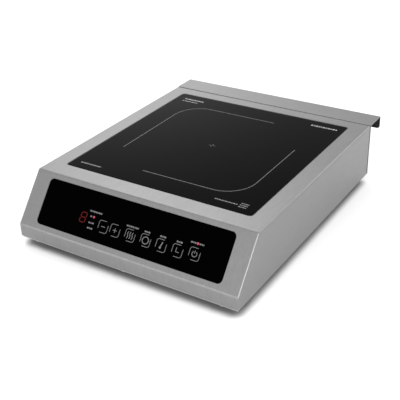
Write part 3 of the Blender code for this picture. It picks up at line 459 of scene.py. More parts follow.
def glowing(name, colour, strength):
    """A lit segment or lamp seen through the black glass, brighter in the middle of its cells."""
    lamp = Surface(name, colour, 0.35)
    cells = lamp.noise(lamp.position((900, 900, 900)), 2)
    lamp.vary_colour(cells, 0.15)
    lamp.shader.inputs["Specular IOR Level"].default_value = 0.05
    lamp.shader.inputs["Emission Color"].default_value = (*colour, 1)
    lamp.shader.inputs["Emission Strength"].default_value = strength
    return lamp.done()


def zinc_plate():
    """Zinc-coated steel with a faint spangle."""
    zinc = Surface("zinc_plate", (0.46, 0.47, 0.48), 0.42, 1.0)
    spangle = zinc.add("ShaderNodeTexVoronoi")
    spangle.inputs["Scale"].default_value = 1.0
    zinc.link(zinc.position((160, 160, 160)), spangle.inputs["Vector"])
    shade = zinc.add("ShaderNodeSeparateColor")
    zinc.link(spangle.outputs["Color"], shade.inputs[0])
    fine = zinc.noise(zinc.position((700, 700, 700)), 3)
    zinc.vary_colour(shade.outputs[0], 0.07, 0, 1)
    zinc.vary_roughness(shade.outputs[1], 0.07, 0, 1)
    zinc.vary_colour(fine, 0.05)
    zinc.bump(fine, 0.008 * MM)
    return zinc.done()


def circuit_board():
    """Green solder mask with lighter copper tracks and dots of solder under it."""
    board = Surface("circuit_board", (0.018, 0.11, 0.045), 0.38)
    tracks = board.add("ShaderNodeTexBrick")
    tracks.inputs["Scale"].default_value = 1.0
    tracks.inputs["Mortar Size"].default_value = 0.06
    board.link(board.position((220, 220, 220)), tracks.inputs["Vector"])
    board.mix_colour(tracks.outputs["Fac"], (0.035, 0.20, 0.08), 0.2, 0.8)
    dots = board.add("ShaderNodeTexVoronoi")
    dots.inputs["Scale"].default_value = 1.0
    board.link(board.position((240, 240, 240)), dots.inputs["Vector"])
    board.mix_colour(dots.outputs["Distance"], (0.45, 0.46, 0.44), 0.16, 0.10)
    board.vary_roughness(board.noise(board.position((90, 90, 90))), 0.08)
    board.bump(tracks.outputs["Fac"], 0.03 * MM)
    return board.done()


def wound_copper(name, centre, turns_per_metre):
    """Enamelled copper turns that run round a centre."""
    copper = Surface(name, (0.62, 0.27, 0.12), 0.34, 0.9)
    coordinates = copper.add("ShaderNodeTexCoord").outputs["Object"]
    from_centre = copper.add("ShaderNodeVectorMath", operation="SUBTRACT")
    copper.link(coordinates, from_centre.inputs[0])
    from_centre.inputs[1].default_value = (centre[0], centre[1], 0)
    flat = copper.scaled(from_centre.outputs[0], (1, 1, 0.25))
    radius = copper.add("ShaderNodeVectorMath", operation="LENGTH")
    copper.link(flat, radius.inputs[0])
    phase = copper.add("ShaderNodeMath", operation="MULTIPLY")
    copper.link(radius.outputs["Value"], phase.inputs[0])
    phase.inputs[1].default_value = 2 * math.pi * turns_per_metre
    wave = copper.add("ShaderNodeMath", operation="SINE")
    copper.link(phase.outputs[0], wave.inputs[0])
    strands = copper.noise(copper.position((900, 900, 900)))
    copper.vary_colour(wave.outputs[0], 0.22, -1, 1)
    copper.vary_colour(strands, 0.12)
    copper.vary_roughness(strands, 0.08)
    copper.bump(wave.outputs[0], 0.15 * MM)
    return copper.done()


def extruded_aluminium():
    """Satin aluminium with fine drawing lines along X."""
    metal = Surface("extruded_aluminium", (0.62, 0.63, 0.64), 0.36, 1.0)
    lines = metal.noise(metal.position((12, 900, 900)), 3)
    cloud = metal.noise(metal.position((30, 30, 30)), 2)
    metal.vary_colour(lines, 0.08)
    metal.vary_colour(cloud, 0.04)
    metal.vary_roughness(lines, 0.06)
    metal.bump(lines, 0.01 * MM)
    return metal.done()


STEEL = brushed_steel("brushed_steel", (0.245, 0.245, 0.2435))
# A darker copy of the steel, which paints the shade under the hood.
HOOD_PAINTED_SHADE = brushed_steel("hood_painted_shade", (0.06, 0.06, 0.06))
ZINC = zinc_plate()
COOKING_GLASS = black_glass("cooking_glass", (0.0006, 0.0006, 0.0007), 0.07, 0.016)
CONTROL_GLASS = black_glass("control_glass", (0.0002, 0.0002, 0.0002), 0.14, 0.006)
SEALANT = speckled("silicone_sealant", (0.010, 0.010, 0.010), 0.42, grain=350)
RUBBER = speckled("foot_rubber", (0.022, 0.022, 0.022), 0.72, grain=900, height=0.04 * MM)
FOAM = speckled("touch_foam", (0.05, 0.05, 0.052), 0.9, grain=1500, spread=0.25, height=0.1 * MM)
BLACK_PLASTIC = speckled("black_plastic", (0.020, 0.020, 0.021), 0.48, grain=1600, height=0.03 * MM)
COMPONENT = speckled("component_black", (0.016, 0.016, 0.017), 0.40, grain=1200)
BOARD = circuit_board()
COIL_COPPER = wound_copper("coil_copper", middle("coil_winding"), 380)
CHOKE_COPPER = wound_copper("choke_copper", middle("filter_choke"), 700)
STATOR_COPPER = wound_copper("stator_copper", middle("fan_stator"), 900)
FERRITE = speckled("ferrite", (0.045, 0.045, 0.05), 0.55, 0.2, grain=800, spread=0.15)
MICA = speckled("mica", (0.46, 0.42, 0.33), 0.5, grain=120, spread=0.16)
FILM = speckled("capacitor_film", (0.60, 0.43, 0.06), 0.35, grain=300, spread=0.05)
CREAM = speckled("cream_plastic", (0.66, 0.63, 0.54), 0.42, grain=900, spread=0.05)
CERAMIC = speckled("sensor_ceramic", (0.72, 0.70, 0.64), 0.6, grain=500, spread=0.05)
LENS = speckled("lamp_lens", (0.55, 0.02, 0.02), 0.2, grain=300, spread=0.10)
SLEEVE = speckled("lead_sleeve", (0.42, 0.045, 0.03), 0.55, grain=1800, spread=0.18)
ALUMINIUM = extruded_aluminium()
GREY_INK = printed_ink("grey_ink", (0.15, 0.15, 0.15))
ZONE_INK = printed_ink("zone_ink", (0.09, 0.09, 0.09))
WHITE_INK = printed_ink("white_ink", (0.36, 0.36, 0.36))
KEY_INK = printed_ink("key_ink", (0.10, 0.10, 0.10))
CAPTION_INK = printed_ink("caption_ink", (0.11, 0.11, 0.11))
DIGIT_GLOW = glowing("digit_glow", (0.06, 0.005, 0.005), 0.5)
LAMP_GLOW = glowing("lamp_glow", (0.30, 0.05, 0.08), 0.4)


# ---------------------------------------------------------------- case
def settle(piece, slot, *nodes):
    """Makes a finished piece ride on the hob's body and stand for the nodes named."""
    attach(piece, BODY)
    if nodes:
        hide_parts(*nodes)
    return piece


def case_block(inset):
    """The wedge that the case fills, moved in by inset on every face and rounded at its folds."""
    slant = math.tan(SLOPE_ANGLE)
    drop = inset / math.cos(SLOPE_ANGLE)
    rear = CASE_REAR - inset
    side = [
        (FRONT + inset, BASE + inset),
        (FRONT + inset, APRON_TOP + inset * slant - drop),
        (FRONT + (TOP - inset - APRON_TOP + drop) / slant, TOP - inset),
        (rear, TOP - inset),
        (rear, BASE + inset),
    ]
    shape = prism(side, -HALF_WIDTH + inset, HALF_WIDTH - inset)
    bmesh.ops.transform(shape, matrix=STAND_UP, verts=shape.verts)
    bmesh.ops.recalc_face_normals(shape, faces=shape.faces)

    def at_rear_foot(vertex):
        return (vertex.co - Vector((vertex.co.x, rear, BASE + inset))).length < MM / 10

    folds = [edge for edge in shape.edges if not all(at_rear_foot(v) for v in edge.verts)]
    bmesh.ops.bevel(
        shape, geom=folds, offset=BEND - inset, segments=BEND_STEPS, affect="EDGES", profile=0.5
    )
    return shape


def case_sheet():
    """The folded case with its cut-outs."""
    piece = make("case_sheet", case_block(0), [STEEL], smooth=False)
    cut(piece, case_block(SHEET))
    inner = HALF_WIDTH - RIM
    cut(piece, box((-inner, FRONT + RIM, BASE - REACH), (inner, CASE_REAR + REACH, BASE + REACH)))
    cut(piece, box((-inner, CASE_REAR - REACH, BASE - REACH),
                   (inner, CASE_REAR + REACH, TOP - SHEET - TOP_LIP)))
    glass_cut = prism(rounded_rectangle(GLASS_CUT_HALF, GLASS_CORNER), -REACH, REACH)
    cut(piece, glass_cut, Matrix.Translation(GLASS_CENTRE + Vector((0, 0, TOP))))
    window_cut = prism(rounded_rectangle(WINDOW_HALF, WINDOW_CORNER), -REACH, REACH)
    cut(piece, window_cut, SLOPE @ Matrix.Translation((0, WINDOW_CENTRE, 0)))
    cut(piece, base_screw_holes())
    cut(piece, rear_screw_holes(), facing_rear(CASE_REAR))
    ease_edges(piece, EASE)
    settle(piece, "case_steel", "top_housing")


def facing_rear(y):
    """Takes shapes along z to the rear, with their y turned down."""
    return Matrix.Translation((0, y, 0)) @ Matrix.Rotation(-math.pi / 2, 4, "X")


def rear_screw_holes(into=None):
    """Cutters for the holes of the rear screws, for facing_rear."""
    shape = into or bmesh.new()
    for name in REAR_SCREWS:
        centre = middle(name)
        prism(circle(SCREW_HOLE, 24, (centre.x, -centre.z)), -REACH, REACH, shape)
    return shape


VENT_COUNT = 16
VENT_PITCH = 11 * MM
VENT_FIRST_X = -140 * MM
VENT_HALF = (2.2 * MM, 16 * MM)
VENT_HEIGHT = 46 * MM
GLAND = Vector((118 * MM, 0, 38 * MM))
GLAND_SHANK = 8 * MM
CORD_BORE = 4.4 * MM


def base_screw_holes():
    """Round posts where the base screws go through the rims."""
    holes = bmesh.new()
    for name in BASE_SCREWS:
        prism(circle(SCREW_HOLE, 24, middle(name)), BASE - REACH, BASE + REACH, holes)
    return holes


def rear_sheet():
    """Rear wall, hood and hood lip, all one folded sheet, with short hems at the wall's sides."""
    half = SHEET / 2
    radius, tight = BEND - half, HOOD_FOLD - half
    wall, hood, lip = WALL - half, TOP - half, REAR_HIGH.y - half
    bottom = BASE + half
    lip_end = TOP - HOOD_LIP
    path = [(WALL - RIM, bottom)]
    path += arc((wall - radius, bottom + radius), radius, -90, 0, BEND_STEPS)
    path += arc((wall + tight, hood - tight), tight, 180, 90, BEND_STEPS)
    path += arc((lip - radius, hood - radius), radius, 90, 0, BEND_STEPS)
    path.append((lip, lip_end))
    piece = make("rear_sheet", sheet_along(path, SHEET, HALF_WIDTH), [STEEL], smooth=False)
    rim_half = HALF_WIDTH - RIM - SHEET
    rim_root = WALL - 0.8 * SHEET
    corner_top = BASE + BEND + SHEET
    bend_x, bend_z = HALF_WIDTH - LIP_CORNER, lip_end + LIP_CORNER
    corner = arc((bend_x, bend_z), LIP_CORNER, 0, -90, BEND_STEPS)
    corner += [(bend_x, lip_end - REACH), (HALF_WIDTH + REACH, lip_end - REACH)]
    corner.append((HALF_WIDTH + REACH, bend_z))
    for side in (-1, 1):
        near, far = sorted((side * rim_half, side * (HALF_WIDTH + REACH)))
        cut(piece, box((near, WALL - RIM - REACH, BASE - REACH), (far, rim_root, corner_top)))
        near, far = sorted((side * (HALF_WIDTH - SHEET), side * HALF_WIDTH))
        hem = box((near, CASE_REAR + GAP, corner_top), (far, WALL - half, TOP - BEND))
        cut(piece, hem, operation="UNION", crossing=True)
        cut(piece, prism([(side * x, -z) for x, z in corner], -REACH, REACH), facing_rear(REAR_HIGH.y))
    openings = bmesh.new()
    for i in range(VENT_COUNT):
        centre = (VENT_FIRST_X + VENT_PITCH * i, -VENT_HEIGHT)
        prism(rounded_rectangle(VENT_HALF, VENT_HALF[0], 6, centre), -REACH, REACH, openings)
    prism(circle(GLAND_SHANK + GAP, 40, (GLAND.x, -GLAND.z)), -REACH, REACH, openings)
    rear_screw_holes(openings)
    cut(piece, openings, facing_rear(WALL))
    cut(piece, base_screw_holes())
    ease_edges(piece, EASE)
    # Painted shade: the hood's inner faces take the darker copy of the steel.
    paint_hood_shade(piece)
    settle(piece, "case_steel", "rear_panel")


def paint_hood_shade(piece):
    """Paints shade into the hood's underside and the lip's inner face, as a darker copy of the steel."""
    piece.data.materials.append(HOOD_PAINTED_SHADE)
    for face in piece.data.polygons:
        if face.center.y > WALL + MM and -face.normal.y - face.normal.z > 0.9:
            face.material_index = 1


# ---------------------------------------------------------------- glass
def cooking_plate():
    """The black glass-ceramic plate with a ground and polished edge."""
    outline = rounded_rectangle(GLASS_HALF, GLASS_CORNER - GLASS_INSET)
    plate = prism(outline, GLASS_LOW.z, GLASS_HIGH.z)
    place = Matrix.Translation(GLASS_CENTRE)
    piece = make("cooking_plate", plate, [COOKING_GLASS], place, smooth=False)
    ease_edges(piece, 0.5 * MM, 4, 60)
    settle(piece, "cooking_glass", "glass_top")


def glass_seal():
    """The bead of silicone round the glass, a little hollow between glass and steel, over its bed."""
    bed_top = GLASS_LOW.z - GAP
    bed_bottom = bed_top - MM
    top = GLASS_HIGH.z - 0.4 * MM
    outer, inner = -GAP, -GAP - MM
    ledge = -9 * MM
    sag = 0.25 * MM
    steps = 6
    section = [(ledge, bed_bottom), (outer, bed_bottom)]
    for i in range(steps + 1):
        share = i / steps
        dip = sag * math.sin(math.pi * share)
        section.append((outer + (inner - outer) * share, top + 0.1 * MM - dip))
    section += [(inner, bed_top), (ledge, bed_top)]
    ring = frame_ring(GLASS_CUT_HALF, GLASS_CORNER, section)
    piece = make("glass_seal_bead", ring, [SEALANT], Matrix.Translation(GLASS_CENTRE))
    settle(piece, "silicone_seal", "glass_seal")


def control_pane():
    """The black pane in the sloping front."""
    half = WINDOW_HALF - Vector((WINDOW_GAP, WINDOW_GAP))
    outline = rounded_rectangle(half, WINDOW_CORNER - WINDOW_GAP)
    place = SLOPE @ Matrix.Translation((0, WINDOW_CENTRE, 0))
    pane = prism(outline, -WINDOW_RECESS - WINDOW_THICKNESS, -WINDOW_RECESS)
    piece = make("control_pane", pane, [CONTROL_GLASS], place, smooth=False)
    ease_edges(piece, 0.3 * MM, 3, 60)
    settle(piece, "control_glass", "control_glass")


# ---------------------------------------------------------------- prints on the cooking glass
INK_LOW = 0.02 * MM
INK_HIGH = 0.06 * MM


def zone_marking():
    """Two rounded brackets that outline the cooking zone, and a small cross at its centre."""
    centre = Vector((0, 6.8)) * MM
    half = Vector((105.6, 107.2)) * MM
    corner = 40 * MM
    width = 0.95 * MM
    bracket_ends = {-1: -55 * MM, 1: 48 * MM}
    crossbar = 40 * MM
    low, high = GLASS_HIGH.z + INK_LOW, GLASS_HIGH.z + INK_HIGH
    shape = bmesh.new()
    for turn, end in bracket_ends.items():
        bend_centre = (turn * (half.x - corner), centre.y - turn * (half.y - corner))
        start = 180 if turn < 0 else 0
        line = [(turn * half.x, end), *arc(bend_centre, corner, start, start - 90, 24)]
        line.append((-turn * crossbar, centre.y - turn * half.y))
        stroke(shape, line, width, low, high)
    arm, opening, arm_width = 5 * MM, 0.6 * MM, 0.6 * MM
    for direction in (Vector((1, 0)), Vector((0, 1))):
        for sign in (-1, 1):
            ends = [centre + direction * sign * opening, centre + direction * sign * arm]
            stroke(shape, ends, arm_width, low, high)
    piece = make("zone_marking", shape, [ZONE_INK], smooth=False)
    settle(piece, "cooking_glass")


BAR_LENGTHS = [length * MM for length in (2.6, 1.5, 3.1, 2.0, 1.4, 2.8, 1.8)]
SHORTEST_BAR = 0.5 * MM


def dashes(shape, left, right, y, height, low, high, gap=0.7 * MM):
    """A row of plain bars of uneven length that stands for a line of small print."""
    bottom, top = y - height / 2, y + height / 2
    x = left
    i = 0
    while x < right - SHORTEST_BAR:
        end = min(x + BAR_LENGTHS[i % len(BAR_LENGTHS)], right)
        prism([(x, bottom), (end, bottom), (end, top), (x, top)], low, high, shape)
        x = end + gap
        i += 1


def corner_marks():
    """Rows of plain bars in the corners of the glass, where a hob carries its small print."""
    low, high = GLASS_HIGH.z + INK_LOW, GLASS_HIGH.z + INK_HIGH
    rear = bmesh.new()
    dashes(rear, -126 * MM, -93 * MM, 133.2 * MM, 3.0 * MM, low, high, gap=1.3 * MM)
    dashes(rear, -126 * MM, -98 * MM, 125.4 * MM, 2.0 * MM, low, high, gap=1.3 * MM)
    dashes(rear, 90 * MM, 131 * MM, 133.5 * MM, 3.6 * MM, low, high, gap=1.5 * MM)
    settle(make("rear_corner_marks", rear, [WHITE_INK], smooth=False), "cooking_glass")
    front = bmesh.new()
    dashes(front, -127 * MM, -94 * MM, -119.6 * MM, 2.6 * MM, low, high, gap=1.0 * MM)
    dashes(front, 80 * MM, 111.5 * MM, -118.2 * MM, 1.8 * MM, low, high)
    for y in (-121.6, -117.4, -113.2):
        dashes(front, 114.5 * MM, 125 * MM, y * MM, 1.6 * MM, low, high)
    settle(make("front_corner_marks", front, [GREY_INK], smooth=False), "cooking_glass")


# ---------------------------------------------------------------- control panel prints
KEY_CENTRES = [Vector((x, 29.7)) * MM for x in (-38.2, -20.0, 3.0, 26.0, 48.7, 71.8)]
POWER_KEY = Vector((94.8, 32.2)) * MM
KEY_HALF = Vector((7.2, 7.4)) * MM
PRINT_LOW = -WINDOW_RECESS + 0.02 * MM
PRINT_HIGH = -WINDOW_RECESS + 0.05 * MM


def panel_stroke(shape, points, width, closed=False):
    """A line printed on the control pane."""
    stroke(shape, points, width, PRINT_LOW, PRINT_HIGH, closed)


def key_brackets(shape, centre):
    """Two brackets round a key, open at its upper right and lower left corners."""
    corner = 2.8 * MM
    width = 0.7 * MM
    opening = 4.2 * MM
    for turn in (1, -1):
        bend_centre = (-KEY_HALF.x + corner, KEY_HALF.y - corner)
        points = [(-KEY_HALF.x, -KEY_HALF.y + opening)]
        points += arc(bend_centre, corner, 180, 90, 8)
        points.append((KEY_HALF.x - opening, KEY_HALF.y))
        panel_stroke(shape, [centre + turn * Vector(p) for p in points], width)


SIGN_ARM = 2.9 * MM  # half the length of the minus and plus signs
SIGN_WIDTH = 0.9 * MM


def minus_icon(shape, centre):
    """A level bar."""
    arm = Vector((SIGN_ARM, 0))
    panel_stroke(shape, [centre - arm, centre + arm], SIGN_WIDTH)


def plus_icon(shape, centre):
    """A level bar with an arm above it and one below."""
    minus_icon(shape, centre)
    for sign in (-1, 1):
        inner = centre + Vector((0, sign * 0.5 * MM))
        panel_stroke(shape, [inner, centre + Vector((0, sign * SIGN_ARM))], SIGN_WIDTH)


def heat_icon(shape, centre):
    """Three upright waves."""
    steps = 14
    for offset in (-3.4, 0.0, 3.4):
        points = []
        for i in range(steps + 1):
            y = (i / steps - 0.5) * 8.6 * MM
            sway = 0.8 * MM * math.sin(2 * math.pi * i / steps)
            points.append(centre + Vector((offset * MM + sway + y * 0.12, y)))
        panel_stroke(shape, points, 0.95 * MM)


def ring_icon(shape, centre):
    """A ring with a small tick at its left and right."""
    panel_stroke(shape, [centre + Vector(p) for p in circle(4.3 * MM, 40)], 1.1 * MM, closed=True)
    for side in (-1, 1):
        inner, outer = Vector((side * 5.6 * MM, 0)), Vector((side * 6.4 * MM, 0))
        panel_stroke(shape, [centre + inner, centre + outer], 0.7 * MM)


def thermometer_icon(shape, centre):
    """A leaning stem over a round bulb."""
    bulb = centre + Vector((-0.6, -2.6)) * MM
    prism([bulb + Vector(p) for p in circle(1.5 * MM, 20)], PRINT_LOW, PRINT_HIGH, shape)
    panel_stroke(shape, [bulb + Vector((0.3, 1.7)) * MM, centre + Vector((1.2, 4.4)) * MM], 1.5 * MM)


def clock_icon(shape, centre):
    """Two hands of a clock, at three o'clock."""
    panel_stroke(shape, [centre + Vector((-1.8, 3.8)) * MM, centre + Vector((-1.8, -2.1)) * MM], 0.8 * MM)
    panel_stroke(shape, [centre + Vector((-1.2, -1.7)) * MM, centre + Vector((2.8, -1.7)) * MM], 0.8 * MM)


def power_icon(shape, centre):
    """The usual open ring with an upright bar."""
    panel_stroke(shape, [centre + Vector(p) for p in arc((0, 0), 3.3 * MM, 125, 415, 30)], 0.9 * MM)
    panel_stroke(shape, [centre + Vector((0, 0.6 * MM)), centre + Vector((0, 4.2 * MM))], 0.9 * MM)


def key_prints():
    """Brackets and icons of the touch keys, and the bars that stand for their captions."""
    shape = bmesh.new()
    icons = (minus_icon, plus_icon, heat_icon, ring_icon, thermometer_icon, clock_icon)
    for centre, icon in zip(KEY_CENTRES, icons):
        key_brackets(shape, centre)
        icon(shape, centre)
    key_brackets(shape, POWER_KEY)
    power_icon(shape, POWER_KEY)
    settle(make("key_prints", shape, [KEY_INK], SLOPE, smooth=False), "control_glass")

    captions = bmesh.new()
    rows = (
        # left end, right end, middle and height of a row of bars, in millimetres up the slope
        (-64.2, -45.4, 44.3, 1.9), (-61.4, -58.6, 37.7, 1.8), (-61.4, -52.0, 29.7, 1.7),
        (-61.0, -52.0, 22.9, 1.9), (-5.8, 12.2, 40.5, 1.9), (21.2, 29.2, 40.1, 1.9),
        (43.8, 52.6, 40.3, 1.9), (67.4, 75.6, 40.3, 1.9), (85.6, 92.8, 45.0, 1.8), (97.2, 103.6, 45.0, 1.8),
    )
    for row in rows:
        dashes(captions, *(size * MM for size in row), PRINT_LOW, PRINT_HIGH, gap=0.6 * MM)
    settle(make("key_captions", captions, [CAPTION_INK], SLOPE, smooth=False), "control_glass")


def lit_digit():
    """A leaning seven-segment 8 and the two lamps, as they glow at the pane's surface."""
    centre = Vector((-71.4, 33.8)) * MM
    half = Vector((4.1, 6.3)) * MM
    lean = 0.09
    width = 1.25 * MM
    gap = 0.15 * MM
    shape = bmesh.new()

    def leaning(x, y):
        return centre + Vector((x + lean * y, y))

    for y in (-half.y, 0, half.y):
        points = [leaning(-half.x + width / 2 + gap, y), leaning(half.x - width / 2 - gap, y)]
        panel_stroke(shape, points, width)
    for x in (-half.x, half.x):
        for low, high in ((-half.y, 0), (0, half.y)):
            points = [leaning(x, low + width / 2 + gap / 2), leaning(x, high - width / 2 - gap / 2)]
            panel_stroke(shape, points, width)
    settle(make("lit_digit", shape, [DIGIT_GLOW], SLOPE, smooth=False), "lamp_red")
    lamps = bmesh.new()
    for place in (Vector((-55.8, 37.7)) * MM, Vector((95.0, 45.0)) * MM):
        prism([place + Vector(p) for p in circle(1.5 * MM, 24)], PRINT_LOW, PRINT_HIGH, lamps)
    settle(make("lit_lamps", lamps, [LAMP_GLOW], SLOPE, smooth=False), "lamp_red")


# ---------------------------------------------------------------- underside and rear hardware
def feet():
    """Push-in rubber feet with a grooved sole and a waist."""
    seat = PLATE_LOW.z - GAP
    top = PLATE_LOW.z + 1.2 * MM + GAP
    sole = (
        (0, 1.2), (3.4, 1.2), (4, 0.6), (4.6, 0), (7, 0), (7.4, 0.5), (8, 0.5), (8.4, 0), (11.9, 0),
        (12.6, 0.25), (12.95, 0.9), (12.7, 2.2), (12.0, 5.5), (11.7, 8.2),
    )
    barb = ((3.6, 0), (5, 0.4), (4.4, 1.4), (3.4, 2.4), (0, 2.6))
    profile = [(radius * MM, z * MM) for radius, z in sole]
    profile += [(11.5 * MM, seat - 0.5 * MM), (11.0 * MM, seat), (3.6 * MM, seat)]
    profile += [(radius * MM, top + z * MM) for radius, z in barb]
    for node in [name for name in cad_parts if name.startswith("foot_")]:
        centre = middle(node)
        place = Matrix.Translation((centre.x, centre.y, 0))
        piece = make(node + "_rubber", turned(profile, 48), [RUBBER], place)
        settle(piece, "foot_rubber", node)


def screw(shank_length):
    """A pan-head screw along +Z, its head below z 0, with thread rings along its shank."""
    head = 2.9 * MM
    height = 2.3 * MM
    shank = 1.5 * MM
    profile = [(0, -height)]
    dome_steps = 8
    for i in range(1, dome_steps + 1):
        angle = math.pi / 2 * i / dome_steps
        profile.append((head * math.sin(angle) ** 0.8, -0.5 * MM - (height - 0.5 * MM) * math.cos(angle)))
    profile += [(head, 0), (shank, 0)]
    pitch = 0.7 * MM
    z = 0.6 * MM
    while z < shank_length - 1.4 * MM:
        profile += [(shank, z), (shank - 0.25 * MM, z + pitch / 2)]
        z += pitch
    profile += [(shank, z), (shank - 0.7 * MM, shank_length), (0, shank_length)]
    return turned(profile, 28)


def screw_recess():
    """The cross in a screw's head."""
    shape = bmesh.new()
    slot, reach = 0.42 * MM, 1.6 * MM
    box((-reach, -slot, -3 * MM), (reach, slot, -1.1 * MM), shape)
    box((-slot, -reach, -3 * MM), (slot, reach, -1.1 * MM), shape)
    return shape


FIRST_SPIN = 0.4  # radians that the first screw's cross is turned by
SPIN_STEP = 1.1


def screws():
    """Every screw of the base plate and the rear wall."""
    plate_seat = PLATE_LOW.z - GAP
    places = {}
    for name in BASE_SCREWS:
        centre = middle(name)
        places[name] = (Matrix.Translation((centre.x, centre.y, plate_seat)), 8 * MM)
    for name in REAR_SCREWS:
        centre = middle(name)
        turn = Matrix.Rotation(math.pi / 2, 4, "X")
        places[name] = (Matrix.Translation((centre.x, WALL + GAP, centre.z)) @ turn, 7 * MM)
    for i, (name, (place, length)) in enumerate(places.items()):
        piece = make(name + "_steel", screw(length), [ZINC])
        spin = Matrix.Rotation(FIRST_SPIN + SPIN_STEP * i, 4, "Z")
        cut(piece, screw_recess(), spin, crossing=True)
        piece.data.transform(place)
        piece.data.shade_smooth()
        piece.data.set_sharp_from_angle(angle=math.radians(35))
        settle(piece, "zinc_steel", name)


def lofted(sections):
    """A closed shape through loops of points with the same number of points."""
    shape = bmesh.new()
    loops = [[shape.verts.new(p) for p in section] for section in sections]
    for loop, following in zip(loops, loops[1:] + loops[:1]):
        for i in range(len(loop)):
            j = (i + 1) % len(loop)
            shape.faces.new((loop[i], loop[j], following[j], following[i]))
    return shape


def nut_radius(angle, across_corners, roundness):
    """Distance to a hexagon's side at an angle, mixed with its inner circle by roundness."""
    part = (angle + math.pi / 6) % (math.pi / 3) - math.pi / 6
    inner = across_corners * math.cos(math.pi / 6)
    flat = inner / math.cos(part)
    soft = min(flat, across_corners * 0.975)
    return soft * (1 - roundness) + inner * roundness


def gland():
    """Cable gland: hexagonal body, dome nut and sealing insert, all with an open bore."""
    place = facing_rear(WALL) @ Matrix.Translation((GLAND.x, -GLAND.z, 0))
    steps = 72
    angles = [2 * math.pi * i / steps for i in range(steps)]

    def round_loop(radius, z):
        return [(radius * MM * math.cos(a), radius * MM * math.sin(a), z * MM) for a in angles]

    def nut_loop(corner, z, roundness):
        radii = [nut_radius(a, corner * MM, roundness) for a in angles]
        return [(r * math.cos(a), r * math.sin(a), z * MM) for r, a in zip(radii, angles)]

    shank, gap, cord = GLAND_SHANK / MM, GAP / MM, CORD_BORE / MM
    body = [
        round_loop(6, -9), round_loop(7.6, -9), round_loop(shank, -8.4), round_loop(shank, gap),
        nut_loop(11.5, gap, 0.75), nut_loop(11.5, 0.9, 0), nut_loop(11.5, 4.4, 0), nut_loop(11.5, 5, 0.75),
        round_loop(9.5, 5), round_loop(9.5, 9), round_loop(6, 9),
    ]
    settle(make("gland_body_moulding", lofted(body), [BLACK_PLASTIC], place), "black_plastic", "gland_body")

    nut = [
        round_loop(10, 5.4), nut_loop(12, 5.4, 0.8), nut_loop(12, 6.1, 0.1), nut_loop(12, 11.4, 0.1),
        nut_loop(12, 12.6, 0.9),
    ]
    nut += [round_loop(8.2 + 2 * x, 12.9 + 4 * z) for x, z in arc((0, 0), 1, 0, 90, 6)]
    nut += [round_loop(7.3, 17), round_loop(7.2, 9.5), round_loop(10, 9.5)]
    dome = make("gland_dome_moulding", lofted(nut), [BLACK_PLASTIC], place)
    settle(dome, "black_plastic", "gland_dome_nut")

    insert = [
        round_loop(cord, -6), round_loop(5.5, -6), round_loop(5.5, 9.4), round_loop(6.8, 9.4),
        round_loop(6.8, 15.4), round_loop(6.3, 16), round_loop(5.5, 16), round_loop(4.8, 15.5),
        round_loop(cord, 14.6),
    ]
    settle(make("gland_seal_ring", lofted(insert), [SEALANT], place), "silicone_seal", "gland_insert")


# ---------------------------------------------------------------- nodes that keep their shape
def dress_nodes():
    """Gives each remaining node its material."""
    finishes = {
        "base_plate": ZINC, "glass_support_frame": ZINC, "sensor_spring": ZINC,
        "gland_lock_nut": BLACK_PLASTIC, "control_bracket": BLACK_PLASTIC, "coil_carrier": BLACK_PLASTIC,
        "fan_frame": BLACK_PLASTIC, "fan_impeller": BLACK_PLASTIC, "power_transistor": COMPONENT,
        "bridge_rectifier": COMPONENT, "electrolytic_capacitor": COMPONENT, "digit_display": COMPONENT,
        "power_board": BOARD, "control_board": BOARD, "coil_winding": COIL_COPPER,
        "filter_choke": CHOKE_COPPER, "fan_stator": STATOR_COPPER, "mica_sheet": MICA,
        "resonance_capacitor": FILM, "standby_transformer": CREAM, "terminal_block": CREAM,
        "ribbon_cable": CREAM, "temperature_sensor": CERAMIC, "mode_led": LENS, "standby_led": LENS,
        "coil_lead_inner": SLEEVE, "coil_lead_outer": SLEEVE, "heat_sink": ALUMINIUM, "coil_tray": ALUMINIUM,
    }
    for name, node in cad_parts.items():
        if name.startswith("ferrite_bar"):
            finish = FERRITE
        elif name.startswith("touch_pad"):
            finish = FOAM
        else:
            finish = finishes.get(name)
        if finish is None:
            continue
        node.data.materials.clear()
        node.data.materials.append(finish)


# ---------------------------------------------------------------- studio
SHADOW_REACH = 16 * MM  # how near the hob the contact shadow painted into the worktop's colour starts
SHADOW_SPAN = (0.50, 0.82)  # open share of the sky where the shadow is deepest, and where it ends
SHADOW_DEPTH = 0.20


def floor():
    """A wide pale worktop under the hob, with a contact shadow painted into its colour close under its
    edges.
    """
    shape = bmesh.new()
    bmesh.ops.create_circle(shape, cap_ends=True, segments=96, radius=40.0)
    paper = Surface("worktop_paper", (0.98, 0.98, 0.98), 0.9)
    paper.vary_colour(paper.noise(paper.position((3, 3, 3))), 0.004)
    # Painted shadow: the worktop's colour darkens where little of the sky is open nearby.
    paper.shade(paper.shelter(SHADOW_REACH), *SHADOW_SPAN, SHADOW_DEPTH)
    piece = make("floor", shape, [paper.done()], smooth=False)


def softbox(name, place, power):
    """A square area light of one metre, aimed at the hob."""
    light = bpy.data.lights.new(name, "AREA")
    light.shape = "SQUARE"
    light.size = 1.0
    light.energy = power
    lamp = bpy.data.objects.new(name, light)
    lamp.location = place
    aim = Vector((0, 0, 0.05)) - Vector(place)
    lamp.rotation_euler = aim.to_track_quat("-Z", "Y").to_euler()
    bpy.context.scene.collection.objects.link(lamp)


ROOM_LIGHT = 0.87
GLOWS = (
    # turn and rise of the glow's middle in degrees, how tight it is, how bright
    (128, 16, 60, 1.6),
    (60, 30, 20, 3.0),
    (-95, 0, 20, 2.0),
    (-130, 0, 20, 2.0),
    (30, 15, 10, -0.8),
)


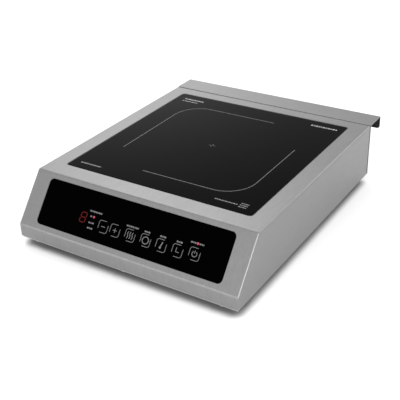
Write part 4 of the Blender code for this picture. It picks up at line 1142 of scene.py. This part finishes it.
def studio_world():
    """An evenly lit room with bright and dark regions that shade softly into each other."""
    world = bpy.data.worlds.new("studio")
    bpy.context.scene.world = world
    world.use_nodes = True
    tree = world.node_tree

    def maths(operation, *values):
        node = tree.nodes.new("ShaderNodeMath")
        node.operation = operation
        for socket, value in zip(node.inputs, values):
            if isinstance(value, (int, float)):
                socket.default_value = value
            else:
                tree.links.new(value, socket)
        return node.outputs[0]

    coordinates = tree.nodes.new("ShaderNodeTexCoord")
    light = ROOM_LIGHT
    for turn, rise, tightness, strength in GLOWS:
        middle_line = Vector((math.cos(math.radians(rise)), 0, math.sin(math.radians(rise))))
        middle_line.rotate(Matrix.Rotation(math.radians(turn), 3, "Z"))
        facing = tree.nodes.new("ShaderNodeVectorMath")
        facing.operation = "DOT_PRODUCT"
        facing.inputs[1].default_value = middle_line
        tree.links.new(coordinates.outputs["Generated"], facing.inputs[0])
        share = maths("POWER", maths("MAXIMUM", facing.outputs["Value"], 0), tightness)
        light = maths("MULTIPLY_ADD", share, strength, light)
    tree.links.new(light, tree.nodes["Background"].inputs["Color"])


CAMERA_PLACE = (0.51759, -0.82189, 0.55316)
CAMERA_FORWARD = Vector((-0.47633, 0.73037, -0.48957)).normalized()
CAMERA_UP = Vector((-0.23835, 0.42869, 0.87144))
CAMERA_LENS = 70.65  # millimetres, on a sensor 36 mm wide


def camera():
    """The camera, above the hob's front and to its right."""
    data = bpy.data.cameras.new("camera")
    data.sensor_width = 36
    data.lens = CAMERA_LENS
    data.clip_end = 50
    piece = bpy.data.objects.new("camera", data)
    right = CAMERA_FORWARD.cross(CAMERA_UP).normalized()
    up = right.cross(CAMERA_FORWARD)
    turn = Matrix((right, up, -CAMERA_FORWARD)).transposed().to_4x4()
    piece.matrix_world = Matrix.Translation(CAMERA_PLACE) @ turn
    bpy.context.scene.collection.objects.link(piece)
    bpy.context.scene.camera = piece


camera()
case_sheet()
rear_sheet()
cooking_plate()
glass_seal()
control_pane()
zone_marking()
corner_marks()
key_prints()
lit_digit()
feet()
screws()
gland()
dress_nodes()
floor()
studio_world()
softbox("front_right_softbox", (0.9, -0.9, 1.6), 3)
softbox("front_left_softbox", (-0.9, -0.9, 1.6), 1)
softbox("rear_left_softbox", (-0.9, 0.9, 1.6), 8)
softbox("low_right_softbox", (1.06, -1.06, 0.65), 14)
softbox("low_front_softbox", (0, -1.5, 0.65), 1)
bpy.context.scene.view_settings.view_transform = "Standard"
